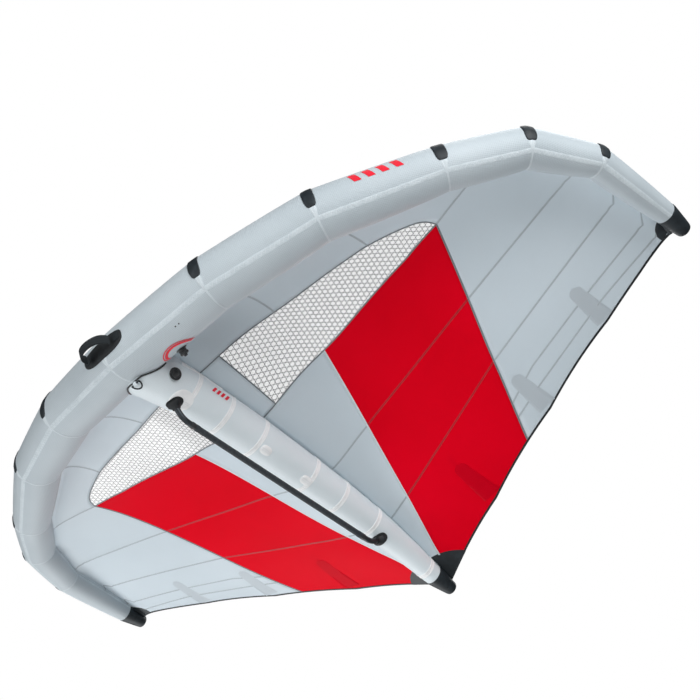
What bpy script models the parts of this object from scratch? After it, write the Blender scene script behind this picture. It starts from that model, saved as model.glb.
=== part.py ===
"""Inflatable hand-held wing: a tubular leading edge and strut, a cloth canopy, a boom and a front handle.

Wing axes: X runs across the span to the wing's right, Y from the leading edge to the trailing edge,
Z up to the canopy side. Sizes below start from the middle of the leading edge. The empty that carries
every piece moves the middle of the boom's grip to the origin. Units are metres, angles are degrees.
"""
import math

import bmesh
import bpy
from mathutils import Vector

# Leading edge tube, right half: x, y, z and tube radius at each seam between its panels
LE_SEAMS = (
    (0.000, 0.004, 0.042, 0.1100),
    (0.437, 0.044, 0.114, 0.1070),
    (0.862, 0.162, 0.225, 0.0986),
    (1.267, 0.375, 0.328, 0.0834),
    (1.505, 0.554, 0.408, 0.0750),
    (1.637, 0.797, 0.460, 0.0620),
    (1.680, 1.190, 0.507, 0.0430),
)
LE_TIP = (1.684, 1.300, 0.518, 0.0310)
LE_SIDES = 24
LE_WALL = 0.0009
CAP_WALL = 0.0030
FILM = 0.0005
FILM_GAP = 0.0015
GAP = 0.0004

# Trailing edge at the same stations: x, y, z
TRAILING_EDGE = (
    (0.000, 1.790, 0.086),
    (0.421, 1.628, 0.196),
    (0.844, 1.492, 0.319),
    (1.241, 1.383, 0.439),
    (1.456, 1.333, 0.493),
    (1.579, 1.299, 0.518),
    (1.630, 1.279, 0.524),
)
CANOPY_SEAT = 16.0
SEAT_LIFT = 0.0020
CANOPY_CAMBER = 0.180
CAMBER_FADE = 1.38
CAMBER_FRONT = 0.665
CAMBER_REAR = 1.94
CLOTH = 0.0008
STRUT_PULL = 0.15
PULL_START = 0.03

# Canopy seams of the right half, from the strut outwards or from front to rear. Each corner is a
# station along the leading edge, counted in its seams, and a share of the chord at that station.
FRONT_LINE = ((0.300, 0.000), (3.350, 0.000))
FRONT_SEAM = ((0.175, 0.125), (1.000, 0.168), (2.100, 0.172), (2.630, 0.209))
MIDDLE_SEAM = ((0.175, 0.355), (0.990, 0.349), (2.640, 0.213))
STRUT_LINE = ((0.175, 0.355), (0.165, 0.557), (0.140, 0.770), (0.110, 0.900), (0.100, 0.985))
RED_INNER = ((0.990, 0.349), (0.650, 0.575), (0.320, 0.771), (0.190, 0.900), (0.150, 0.985))
RED_OUTER = ((2.640, 0.213), (2.290, 0.530), (2.040, 0.739), (1.850, 0.870), (1.620, 0.985))
TIP_LINE = ((3.350, 0.000), (4.750, 0.000), (5.500, 0.000), (5.970, 0.050), (5.970, 0.985))
HEM_FRONT = 0.987
ROW_STEPS = 3
CENTRE_COLUMNS = 4
RED_COLUMNS = 8
OUTER_COLUMNS = 5
BATTEN_STATIONS = (1, 2, 3)
BATTEN_FRONT = 0.800
BATTEN_REAR = 0.975
BATTEN_WIDTH = 0.012
BATTEN_THICK = 0.002
BATTEN_LIFT = 0.0016

# Strut: y, height of its axis and radius, from the leading edge to the end cap
STRUT_STATIONS = (
    (0.000, 0.042, 0.0960),
    (0.090, 0.056, 0.1060),
    (0.170, 0.068, 0.1000),
    (0.290, 0.086, 0.0910),
    (0.550, 0.103, 0.0870),
    (0.800, 0.111, 0.0820),
    (1.100, 0.112, 0.0740),
    (1.350, 0.103, 0.0640),
    (1.540, 0.082, 0.0530),
    (1.690, 0.058, 0.0430),
)
STRUT_SETTLE = 0.290
STRUT_CAP_END = (1.800, 0.056, 0.0300)
STRUT_CAP_EDGE = 0.003
STRUT_SIDES = 24
MOUTH_GAP = 0.0012
BLADDER_INSET = 0.030
STRUT_SPREAD = 50.0
STRUT_SPREAD_FRONT = 84.0
SPREAD_START = 0.300
SPREAD_LENGTH = 0.180
STRIP_LIFT = 0.0016
STRIP_MARGIN = 3.0
STRIP_COLUMNS = 6
STRIP_INSET = 0.004

# Boom: the corners of its side view, y and z, and the boots that hold its ends
BOOM_FRONT_BEND = (0.302, -0.058)
BOOM_REAR_BEND = (1.298, -0.006)
BOOM_RADIUS = 0.0115
BOOM_BORE = 0.0095
BOOM_ELBOW = 0.030
GRIP_RADIUS = 0.0135
GRIP_INSET = 0.060
BOOT_FRONT_Y = 0.252
BOOT_REAR_Y = 1.345
BOOT_HEIGHT = 0.022
BOOT_LENGTH = 0.036
BOOT_WIDTH = 0.026
BOOT_NECK = 0.0155

# Wear pads on the leading edge, front handle and leash loop
PAD_FROM = -216.0
PAD_TO = -143.0
PAD_WIDTH = 0.042
PAD_THICK = 0.003
PAD_LIFT = 0.0010
PAD_ROWS = 10
HANDLE_ANGLE = -152.0
HANDLE_HALF = 0.095
HANDLE_SPREAD = 19.0
LOOP_HALF = 0.066
LOOP_RISE = 0.056
LOOP_RADIUS = 0.009
LOOP_HEIGHT = 0.007
LOOP_STEPS = 14
LEASH_Y = 0.074
LEASH_ANGLE = -86.0
LEASH_HALF = 0.020
LEASH_RISE = 0.026
LEASH_WIRE = 0.0030
LEASH_STAND = 0.0085
TAB_HALF = 0.0080

# Valves: rows of distance out from the skin and radius
VALVE_SHARE = 0.46
VALVE_ANGLE = -30.0
VALVE_HOLE = 0.0112
VALVE_BODY = ((-0.012, 0.0095), (0.0012, 0.0095), (0.0012, 0.0210), (0.0040, 0.0210), (0.0055, 0.0150),
              (0.0170, 0.0150))
VALVE_CAP = ((0.0174, 0.0165), (0.0255, 0.0160), (0.0270, 0.0145), (0.0270, 0.0070), (0.0340, 0.0060))
VALVE_HINGE = (0.0172, 0.0185)
STRUT_VALVE_Y = 0.178
STRUT_VALVE_ANGLE = -28.0
STRUT_VALVE_BODY = ((-0.010, 0.0095), (0.0034, 0.0095), (0.0034, 0.0240), (0.0065, 0.0240), (0.0080, 0.0190))
STRUT_VALVE_CAP = ((0.0084, 0.0175), (0.0125, 0.0175), (0.0140, 0.0160), (0.0140, 0.0090), (0.0115, 0.0080))
STRUT_VALVE_HINGE = (0.0084, 0.0195)

WHITE = (0.58, 0.66, 0.71, 1.0)
RED = (0.62, 0.004, 0.022, 1.0)
BLACK = (0.024, 0.028, 0.032, 1.0)
CLEAR = (0.72, 0.74, 0.76, 1.0)

GRIP_CENTRE = Vector((0.0, (BOOM_FRONT_BEND[0] + BOOM_REAR_BEND[0]) / 2,
                      (BOOM_FRONT_BEND[1] + BOOM_REAR_BEND[1]) / 2))
NOWHERE = Vector((0.0, 0.0, 0.0))
ACROSS = Vector((1.0, 0.0, 0.0))
BACK = Vector((0.0, 1.0, 0.0))
UP = Vector((0.0, 0.0, 1.0))
SIDES = (("right", 1), ("left", -1))
LAST_SEAM = len(LE_SEAMS) - 1
LE_ENDS = LE_SEAMS + (LE_TIP,)


# ---------------------------------------------------------------- making pieces

def clear_scene():
    for item in list(bpy.data.objects):
        bpy.data.objects.remove(item, do_unlink=True)


def make_material(name, colour, roughness, metallic=0.0):
    material = bpy.data.materials.new(name)
    material.use_nodes = True
    shader = material.node_tree.nodes["Principled BSDF"]
    shader.inputs["Base Color"].default_value = colour
    shader.inputs["Roughness"].default_value = roughness
    shader.inputs["Metallic"].default_value = metallic
    material.diffuse_color = colour
    return material


def make_materials():
    return {
        "tube_cloth": make_material("tube_cloth", WHITE, 0.55),
        "canopy_cloth": make_material("canopy_cloth", WHITE, 0.50),
        "red_cloth": make_material("red_cloth", RED, 0.45),
        "window_mesh": make_material("window_mesh", CLEAR, 0.30),
        "bladder_film": make_material("bladder_film", CLEAR, 0.25),
        "black_patch": make_material("black_patch", BLACK, 0.70),
        "webbing": make_material("webbing", BLACK, 0.80),
        "grip_foam": make_material("grip_foam", BLACK, 0.75),
        "boom_alloy": make_material("boom_alloy", BLACK, 0.35, 0.8),
        "valve_plastic": make_material("valve_plastic", BLACK, 0.40),
        "batten_rod": make_material("batten_rod", CLEAR, 0.40),
    }


def add_object(name, shape, material, carrier, pivot=NOWHERE):
    """One closed piece, from points and faces in wing coordinates, with its origin at the pivot.

    A hollow piece's shape has a third value, the number of its first inside face.
    """
    points, faces, *inside = shape
    body = bmesh.new()
    corners = [body.verts.new(point - pivot) for point in points]
    for face in faces:
        body.faces.new([corners[index] for index in face])
    bmesh.ops.recalc_face_normals(body, faces=body.faces)
    for first in inside:
        body.faces.ensure_lookup_table()
        bmesh.ops.reverse_faces(body, faces=body.faces[first:])
    mesh = bpy.data.meshes.new(name)
    body.to_mesh(mesh)
    body.free()
    mesh.shade_smooth()
    mesh.set_sharp_from_angle(angle=math.radians(35.0))
    mesh.materials.append(material)
    piece = bpy.data.objects.new(name, mesh)
    piece.location = pivot
    piece.parent = carrier
    bpy.context.scene.collection.objects.link(piece)
    return piece


def loft(rings, loop=False):
    """Skins a row of rings. A loop joins the last ring to the first; otherwise both ends are capped."""
    count = len(rings[0])
    points = [point for ring in rings for point in ring]
    faces = []
    for index in range(len(rings) if loop else len(rings) - 1):
        here = index * count
        there = (index + 1) % len(rings) * count
        for step in range(count):
            after = (step + 1) % count
            faces.append((here + step, here + after, there + after, there + step))
    if not loop:
        faces.append(tuple(range(count)))
        faces.append(tuple(range(len(points) - count, len(points))))
    return points, faces


def slab(lower, upper):
    """A closed sheet between two grids of points of the same size."""
    rows = len(lower)
    columns = len(lower[0])
    points = [point for grid in (lower, upper) for row in grid for point in row]
    above = rows * columns
    faces = []
    for row in range(rows - 1):
        for column in range(columns - 1):
            corner = row * columns + column
            square = (corner, corner + 1, corner + columns + 1, corner + columns)
            faces.append(square)
            faces.append(tuple(index + above for index in square))
    rim = list(range(columns))
    rim += [row * columns + columns - 1 for row in range(1, rows)]
    rim += [(rows - 1) * columns + column for column in range(columns - 2, -1, -1)]
    rim += [row * columns for row in range(rows - 2, 0, -1)]
    for here, after in zip(rim, rim[1:] + rim[:1]):
        faces.append((here, after, after + above, here + above))
    return points, faces


def nested(outer_rings, inner_rings):
    """Two capped skins, one inside the other, which a hole joins afterwards."""
    points, faces = loft(outer_rings)
    inner_points, inner_faces = loft(inner_rings)
    offset = len(points)
    first_inside = len(faces)
    faces += [tuple(index + offset for index in face) for face in inner_faces]
    return points + inner_points, faces, first_inside


def circle(centre, direction, radius, sides, hint=UP):
    first = (hint - hint.dot(direction) * direction).normalized()
    second = direction.cross(first)
    turn = 2.0 * math.pi / sides
    return [centre + radius * (math.cos(step * turn) * first + math.sin(step * turn) * second)
            for step in range(sides)]


def turned(centre, direction, profile, sides=20):
    """A body of revolution: each row of the profile is a distance along the direction and a radius."""
    return loft([circle(centre + direction * along, direction, radius, sides, ACROSS)
                 for along, radius in profile])


def path_directions(points):
    directions = []
    for index in range(len(points)):
        before = points[max(index - 1, 0)]
        after = points[min(index + 1, len(points) - 1)]
        directions.append((after - before).normalized())
    return directions


def path_rings(points, radius, sides, hint):
    return [circle(point, direction, radius, sides, hint)
            for point, direction in zip(points, path_directions(points))]


def make_cutter(name, shape, carrier, materials):
    cutter = add_object(name, shape, materials["valve_plastic"], carrier)
    cutter.hide_render = True
    cutter.display_type = "WIRE"
    return cutter


def cut(piece, cutter):
    modifier = piece.modifiers.new("cut_" + cutter.name, "BOOLEAN")
    modifier.operation = "DIFFERENCE"
    modifier.object = cutter


def between(rows, at):
    """Reads a table sorted by its first value, in straight lines between its rows."""
    for low, high in zip(rows, rows[1:]):
        if at <= high[0]:
            break
    share = (at - low[0]) / (high[0] - low[0])
    return [a + (b - a) * share for a, b in zip(low, high)]


# ---------------------------------------------------------------- leading edge

def seam_centre(index, side):
    x, y, z, _ = LE_ENDS[index]
    return Vector((x * side, y, z))


def seam_radius(index):
    return LE_ENDS[index][3]


def panel_direction(index, side):
    return (seam_centre(index + 1, side) - seam_centre(index, side)).normalized()


def seam_normal(index, side):
    if index == 0:
        return ACROSS * side
    if index > LAST_SEAM:
        return panel_direction(LAST_SEAM, side)
    return (panel_direction(index - 1, side) + panel_direction(index, side)).normalized()


def seam_spoke(index, side, degrees):
    """From the centre of a seam to its mitred ring, for a tube of radius 1: 0 is rear, 90 is up."""
    normal = seam_normal(index, side)
    up = (UP - UP.dot(normal) * normal).normalized()
    rear = up.cross(normal) * side
    spoke = math.cos(math.radians(degrees)) * rear + math.sin(math.radians(degrees)) * up
    direction = panel_direction(min(index, LAST_SEAM), side)
    lean = direction - direction.dot(normal) * normal
    if lean.length > 1e-5:
        lean.normalize()
        spoke += (1.0 / direction.dot(normal) - 1.0) * spoke.dot(lean) * lean
    return spoke


def seam_ring(index, side, inset=0.0, shift=NOWHERE):
    radius = seam_radius(index) - inset
    return [seam_centre(index, side) + radius * seam_spoke(index, side, 360.0 * step / LE_SIDES) + shift
            for step in range(LE_SIDES)]


def skin_point(index, side, degrees, along=0.0, lift=0.0):
    """A point on the tube's skin at a distance along it from a seam; negative goes the other way."""
    if along >= 0.0:
        panel, panel_side, forward = index, side, 1.0
    elif index == 0:
        panel, panel_side, forward = 0, -side, 1.0
    else:
        panel, panel_side, forward = index - 1, side, -1.0
    length = (seam_centre(panel + 1, panel_side) - seam_centre(panel, panel_side)).length
    taper = (seam_radius(panel + 1) - seam_radius(panel)) / length * forward
    radius = seam_radius(index) + taper * abs(along) + lift
    move = panel_direction(panel, panel_side) * abs(along) * forward
    return seam_centre(index, side) + radius * seam_spoke(index, side, degrees) + move


def beside_panel(panel, share, degrees, side):
    """A point on the skin part of the way along a panel, with its outward and along directions."""
    start = seam_centre(panel, side)
    along = panel_direction(panel, side)
    up = (UP - UP.dot(along) * along).normalized()
    rear = up.cross(along) * side
    out = math.cos(math.radians(degrees)) * rear + math.sin(math.radians(degrees)) * up
    radius = seam_radius(panel) + (seam_radius(panel + 1) - seam_radius(panel)) * share
    return start.lerp(seam_centre(panel + 1, side), share) + out * radius, out, along


def build_leading_edge(materials, carrier):
    """Mitred cloth panels, each a thin tube open at both ends, and a cup that closes each tip."""
    panels = {}
    for word, side in SIDES:
        for index in range(LAST_SEAM + 1):
            push = panel_direction(index, side) * GAP
            outside = seam_ring(index, side, 0.0, push)
            if index < LAST_SEAM:
                inside = seam_ring(index, side, LE_WALL, push)
                rings = [outside, seam_ring(index + 1, side), seam_ring(index + 1, side, LE_WALL), inside]
                name = f"le_panel_{word}_{index + 1}"
                panels[name] = add_object(name, loft(rings, loop=True), materials["tube_cloth"], carrier)
            else:
                floor = panel_direction(index, side) * -CAP_WALL
                rings = [seam_ring(index + 1, side, CAP_WALL, floor), seam_ring(index, side, CAP_WALL, push),
                         outside, seam_ring(index + 1, side)]
                add_object(f"tip_cap_{word}", loft(rings), materials["black_patch"], carrier)
    return panels


def build_le_bladder(materials, carrier):
    order = [(index, -1) for index in range(LAST_SEAM, 0, -1)]
    order += [(index, 1) for index in range(LAST_SEAM + 1)]
    skins = []
    for inset in (LE_WALL + FILM_GAP, LE_WALL + FILM_GAP + FILM):
        rings = []
        for index, side in order:
            pull = panel_direction(index - 1, side) * -inset if index == LAST_SEAM else NOWHERE
            rings.append(seam_ring(index, side, inset, pull))
        skins.append(rings)
    return add_object("le_bladder", nested(*skins), materials["bladder_film"], carrier)


def build_wear_pads(materials, carrier):
    """Rounded patches over the nose of the tube at each seam."""
    for word, side in SIDES:
        for index in range(1, LAST_SEAM):
            layers = []
            for lift in (PAD_LIFT, PAD_LIFT + PAD_THICK):
                grid = []
                for row in range(PAD_ROWS + 1):
                    share = row / PAD_ROWS
                    rounding = math.sqrt(max(0.0, 1.0 - abs(2.0 * share - 1.0) ** 6))
                    half = PAD_WIDTH / 2 * max(0.45, rounding)
                    degrees = PAD_FROM + (PAD_TO - PAD_FROM) * share
                    grid.append([skin_point(index, side, degrees, along, lift)
                                 for along in (-half, 0.0, half)])
                layers.append(grid)
            add_object(f"wear_pad_{word}_{index}", slab(*layers), materials["black_patch"], carrier)


# ---------------------------------------------------------------- strut

def strut_point(y, degrees, lift=0.0):
    """A point on the strut's skin and its outward direction: 0 is the wing's right, 90 is up."""
    _, height, radius = between(STRUT_STATIONS, y)
    out = Vector((math.cos(math.radians(degrees)), 0.0, math.sin(math.radians(degrees))))
    return Vector((0.0, y, height)) + out * (radius + lift), out


def outside_tube(point):
    """How far a point near the middle of the span lies outside the leading edge."""
    side = 1 if point.x >= 0.0 else -1
    start = seam_centre(0, side)
    along = panel_direction(0, side)
    return (point - start - (point - start).dot(along) * along).length - seam_radius(0)


def strut_mouth(degrees):
    """Where a line along the strut's skin comes out of the leading edge."""
    low = 0.0
    high = STRUT_SETTLE
    for _ in range(24):
        middle = (low + high) / 2
        if outside_tube(strut_point(middle, degrees)[0]) > MOUTH_GAP:
            high = middle
        else:
            low = middle
    return high


def strut_ring(y, lift=0.0):
    return [strut_point(y, 360.0 * step / STRUT_SIDES, lift)[0] for step in range(STRUT_SIDES)]


def mouth_ring(share, lift=0.0):
    """A ring part of the way from the strut's mouth to where its rings become square to it."""
    ring = []
    for step in range(STRUT_SIDES):
        degrees = 360.0 * step / STRUT_SIDES
        mouth = strut_mouth(degrees)
        ring.append(strut_point(mouth + (STRUT_SETTLE - mouth) * share, degrees, lift)[0])
    return ring


def build_strut(materials, carrier):
    """The strut's cloth sleeve, whose front end follows the leading edge, and its bladder."""
    ys = [row[0] for row in STRUT_STATIONS if row[0] > STRUT_SETTLE]
    outer = [mouth_ring(share) for share in (0.0, 0.5, 1.0)] + [strut_ring(y) for y in ys]
    inner = [mouth_ring(share, -LE_WALL) for share in (0.0, 0.5, 1.0)]
    inner += [strut_ring(y, -LE_WALL) for y in ys]
    sleeve = add_object("strut_sleeve", loft(outer + inner[::-1], loop=True), materials["tube_cloth"], carrier)
    skins = []
    for film in (0.0, FILM):
        lift = -LE_WALL - 2.0 * FILM_GAP - film
        front = STRUT_VALVE_Y - BLADDER_INSET + film
        rear = ys[-1] - BLADDER_INSET / 2 - film
        skins.append([strut_ring(y, lift) for y in [front, STRUT_SETTLE] + ys[:-1] + [rear]])
    bladder = add_object("strut_bladder", nested(*skins), materials["bladder_film"], carrier)
    return sleeve, bladder


def build_strut_cap(materials, carrier):
    start, height, radius = STRUT_STATIONS[-1]
    end, end_height, end_radius = STRUT_CAP_END
    rings = []
    for y, z, r in ((end - CAP_WALL, end_height, end_radius - 2 * CAP_WALL),
                    (start + GAP, height, radius - CAP_WALL),
                    (start + GAP, height, radius),
                    (end - STRUT_CAP_EDGE, end_height, end_radius),
                    (end, end_height, end_radius - STRUT_CAP_EDGE)):
        rings.append(circle(Vector((0.0, y, z)), BACK, r, STRUT_SIDES))
    add_object("strut_end_cap", loft(rings), materials["black_patch"], carrier)


# ---------------------------------------------------------------- canopy

def seam_line(corners, share):
    """A place part of the way along a seam, whose corners share it out evenly."""
    place = share * (len(corners) - 1)
    index = min(int(place), len(corners) - 2)
    return [a + (b - a) * (place - index) for a, b in zip(corners[index], corners[index + 1])]


def station(points, s):
    index = min(int(s), len(points) - 2)
    return points[index].lerp(points[index + 1], s - index)


SEAT_POINTS = [skin_point(index, 1, CANOPY_SEAT, 0.0, SEAT_LIFT) for index in range(LAST_SEAM + 1)]
REAR_POINTS = [Vector(row) for row in TRAILING_EDGE]


def strut_edge(y):
    """Where the canopy leaves the strut's right side: lower down near the leading edge."""
    ahead = min(max((SPREAD_START - y) / SPREAD_LENGTH, 0.0), 1.0)
    spread = STRUT_SPREAD + (STRUT_SPREAD_FRONT - STRUT_SPREAD) * ahead
    return strut_point(min(y, STRUT_STATIONS[-1][0]), 90.0 - spread, STRIP_LIFT)[0]


def free_canopy(s, c):
    """The right half of the canopy as the wind fills it: s is the station, c the share of the chord."""
    point = station(SEAT_POINTS, s).lerp(station(REAR_POINTS, s), c)
    peak = CAMBER_FRONT / (CAMBER_FRONT + CAMBER_REAR)
    shape = (c / peak) ** CAMBER_FRONT * ((1.0 - c) / (1.0 - peak)) ** CAMBER_REAR
    fade = 1.0 - min(point.x / LE_SEAMS[-1][0], 1.0) ** CAMBER_FADE
    point.z += CANOPY_CAMBER * fade * shape
    return point


def canopy_point(s, c):
    """The canopy drawn down beside the strut to the line where it is sewn on."""
    point = free_canopy(s, c)
    edge = strut_edge(point.y)
    root = free_canopy(edge.x / LE_SEAMS[1][0], c)
    reach = max(point.x - edge.x, 0.0) / STRUT_PULL
    point.z += (edge.z - root.z) * math.exp(-reach * reach) * (1.0 - math.exp(-c / PULL_START))
    return point


def canopy_normal(s, c):
    step = 0.004
    s0, s1 = max(s - step, 0.0), min(s + step, float(LAST_SEAM))
    c0, c1 = max(c - step, 0.0), min(c + step, 1.0)
    across = canopy_point(s1, c) - canopy_point(s0, c)
    back = canopy_point(s, c1) - canopy_point(s, c0)
    return across.cross(back).normalized()


def on_side(point, side):
    return Vector((point.x * side, point.y, point.z))


def cloth_panel(name, places, side, material, carrier):
    """A thin closed sheet over a grid of canopy places, drawn in at its rim to leave the seam gap."""
    middle = [[canopy_point(s, c) for s, c in row] for row in places]
    last_row = len(places) - 1
    last_column = len(places[0]) - 1
    layers = []
    for height in (-CLOTH / 2, CLOTH / 2):
        grid = []
        for j, row in enumerate(places):
            line = []
            for i, (s, c) in enumerate(row):
                point = middle[j][i].copy()
                for at_rim, row_in, column_in in ((j == 0, 1, 0), (j == last_row, -1, 0),
                                                  (i == 0, 0, 1), (i == last_column, 0, -1)):
                    if at_rim:
                        point += (middle[j + row_in][i + column_in] - middle[j][i]).normalized() * GAP
                line.append(on_side(point + canopy_normal(s, c) * height, side))
            grid.append(line)
        layers.append(grid)
    return add_object(name, slab(*layers), material, carrier)


def mix(a, b, share):
    return a[0] + (b[0] - a[0]) * share, a[1] + (b[1] - a[1]) * share


def front_to_rear(inner, outer, columns):
    """Places between two seams that run from front to rear, corner beside corner."""
    rows = (len(inner) - 1) * ROW_STEPS
    return [[mix(seam_line(inner, j / rows), seam_line(outer, j / rows), i / columns)
             for i in range(columns + 1)] for j in range(rows + 1)]


def along_span(front, rear, rows):
    """Places between two seams that run out along the span, with the columns of the panels behind."""
    shares = [i / CENTRE_COLUMNS / 2 for i in range(CENTRE_COLUMNS)]
    shares += [0.5 + i / RED_COLUMNS / 2 for i in range(RED_COLUMNS + 1)]
    return [[mix(seam_line(front, share), seam_line(rear, share), j / rows) for share in shares]
            for j in range(rows + 1)]


def hem_places():
    start = STRUT_LINE[-1][0]
    inner = RED_INNER[-1][0]
    outer = RED_OUTER[-1][0]
    end = TIP_LINE[-1][0]
    stations = [start] + [inner + (outer - inner) * i / RED_COLUMNS for i in range(RED_COLUMNS)]
    stations += [outer + (end - outer) * i / OUTER_COLUMNS for i in range(OUTER_COLUMNS + 1)]
    return [[(s, c) for s in stations] for c in (HEM_FRONT, 1.0)]


def build_canopy(materials, carrier):
    cloth = materials["canopy_cloth"]
    panels = (
        ("front_strip", along_span(FRONT_LINE, FRONT_SEAM, OUTER_COLUMNS), cloth),
        ("window", along_span(FRONT_SEAM, MIDDLE_SEAM, ROW_STEPS), materials["window_mesh"]),
        ("centre_panel", front_to_rear(STRUT_LINE, RED_INNER, CENTRE_COLUMNS), cloth),
        ("red_panel", front_to_rear(RED_INNER, RED_OUTER, RED_COLUMNS), materials["red_cloth"]),
        ("outer_panel", front_to_rear(RED_OUTER, TIP_LINE, OUTER_COLUMNS), cloth),
        ("trailing_hem", hem_places(), materials["black_patch"]),
    )
    for word, side in SIDES:
        for name, places, material in panels:
            cloth_panel(f"{name}_{word}", places, side, material, carrier)


def build_spine(materials, carrier):
    """The strip of canopy that lies over the top of the strut."""
    ys = [row[0] for row in STRUT_STATIONS if row[0] > STRUT_SETTLE]
    ys[-1] -= STRIP_INSET
    layers = []
    for lift in (STRIP_LIFT, STRIP_LIFT + CLOTH):
        grid = []
        for y, share in [(None, 0.0), (None, 0.5), (None, 1.0)] + [(y, None) for y in ys]:
            line = []
            for i in range(STRIP_COLUMNS + 1):
                lean = (STRUT_SPREAD - STRIP_MARGIN) * (1.0 - 2.0 * i / STRIP_COLUMNS)
                start = strut_mouth(90.0 - lean) + STRIP_INSET
                at = start + (STRUT_SETTLE - start) * share if y is None else y
                line.append(strut_point(at, 90.0 - lean, lift)[0])
            grid.append(line)
        layers.append(grid)
    add_object("spine_strip", slab(*layers), materials["canopy_cloth"], carrier)


def build_battens(materials, carrier):
    """Flat rods in pockets at the rear of the canopy."""
    steps = 4
    for word, side in SIDES:
        for number, s in enumerate(BATTEN_STATIONS, 1):
            rings = []
            for step in range(steps + 1):
                c = BATTEN_FRONT + (BATTEN_REAR - BATTEN_FRONT) * step / steps
                middle = canopy_point(s, c)
                normal = canopy_normal(s, c)
                half = normal.cross(BACK).normalized() * BATTEN_WIDTH / 2
                low = middle + normal * BATTEN_LIFT
                high = low + normal * BATTEN_THICK
                rings.append([on_side(point, side) for point in (low - half, low + half,
                                                                high + half, high - half)])
            add_object(f"batten_{word}_{number}", loft(rings), materials["batten_rod"], carrier)


# ---------------------------------------------------------------- boom

def in_side_view(place):
    return Vector((0.0, place[0], place[1]))


def boot_parts(y, bend):
    """Where a boot meets the strut, the direction of the boom's end there, and the boot's flat face."""
    foot = strut_point(y, -90.0)[0]
    direction = (bend - foot).normalized()
    return foot, direction, foot + direction * BOOT_HEIGHT


def rounded(before, corner, after):
    """Points around a bend of the boom, from a curve that touches both straight runs."""
    start = corner + (before - corner).normalized() * BOOM_ELBOW
    end = corner + (after - corner).normalized() * BOOM_ELBOW
    points = []
    for step in range(6):
        share = step / 5
        points.append(start.lerp(corner, share).lerp(corner.lerp(end, share), share))
    return points


def build_boom(materials, carrier, strut_solid):
    front = in_side_view(BOOM_FRONT_BEND)
    rear = in_side_view(BOOM_REAR_BEND)
    ends = []
    for word, y, bend in (("front", BOOT_FRONT_Y, front), ("rear", BOOT_REAR_Y, rear)):
        foot, direction, face = boot_parts(y, bend)
        rings = [circle(foot - direction * BOOT_HEIGHT / 2, direction, BOOT_LENGTH, 20, ACROSS),
                 circle(foot + direction * BOOT_HEIGHT * 0.35, direction, BOOT_WIDTH, 20, ACROSS),
                 circle(face, direction, BOOT_NECK, 20, ACROSS)]
        boot = add_object(f"boom_boot_{word}", loft(rings), materials["grip_foam"], carrier)
        cut(boot, strut_solid)
        ends.append(face + direction * GAP)
    points = [ends[0]] + rounded(ends[0], front, rear) + rounded(front, rear, ends[1]) + [ends[1]]
    outer = path_rings(points, BOOM_RADIUS, 16, ACROSS)
    inner = path_rings(points, BOOM_BORE, 16, ACROSS)
    add_object("boom_tube", loft(outer + inner[::-1], loop=True), materials["boom_alloy"], carrier)
    along = (rear - front).normalized()
    rings = []
    for radius, order in ((GRIP_RADIUS, 1), (BOOM_RADIUS + GAP, -1)):
        pair = [circle(front + along * GRIP_INSET, along, radius, 16, ACROSS),
                circle(rear - along * GRIP_INSET, along, radius, 16, ACROSS)]
        rings += pair[::order]
    add_object("boom_grip", loft(rings, loop=True), materials["grip_foam"], carrier)


# ---------------------------------------------------------------- front handle, leash loop, valves

def build_front_handle(materials, carrier):
    rows = 12
    layers = []
    for lift in (PAD_LIFT, PAD_LIFT + PAD_THICK):
        grid = []
        for row in range(rows + 1):
            along = HANDLE_HALF * (2.0 * row / rows - 1.0)
            rounding = math.sqrt(max(0.0, 1.0 - abs(2.0 * row / rows - 1.0) ** 5))
            spread = HANDLE_SPREAD * max(0.5, rounding)
            grid.append([skin_point(0, 1, HANDLE_ANGLE + spread * turn, along, lift)
                         for turn in (-1.0, -0.5, 0.0, 0.5, 1.0)])
        layers.append(grid)
    add_object("front_handle_pad", slab(*layers), materials["black_patch"], carrier)
    out = seam_spoke(0, 1, HANDLE_ANGLE).normalized()
    pivot = skin_point(0, 1, HANDLE_ANGLE, 0.0, PAD_LIFT + PAD_THICK + LOOP_HEIGHT)
    points = []
    for step in range(LOOP_STEPS + 1):
        angle = math.pi * step / LOOP_STEPS
        points.append(pivot + ACROSS * LOOP_HALF * math.cos(angle) + out * LOOP_RISE * math.sin(angle) ** 0.8)
    rings = path_rings(points, LOOP_RADIUS, 12, out.cross(ACROSS))
    rings[0] = circle(points[0], out, LOOP_RADIUS, 12, out.cross(ACROSS))
    rings[-1] = circle(points[-1], -out, LOOP_RADIUS, 12, out.cross(ACROSS))
    add_object("front_handle_loop", loft(rings), materials["webbing"], carrier, pivot)


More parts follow.
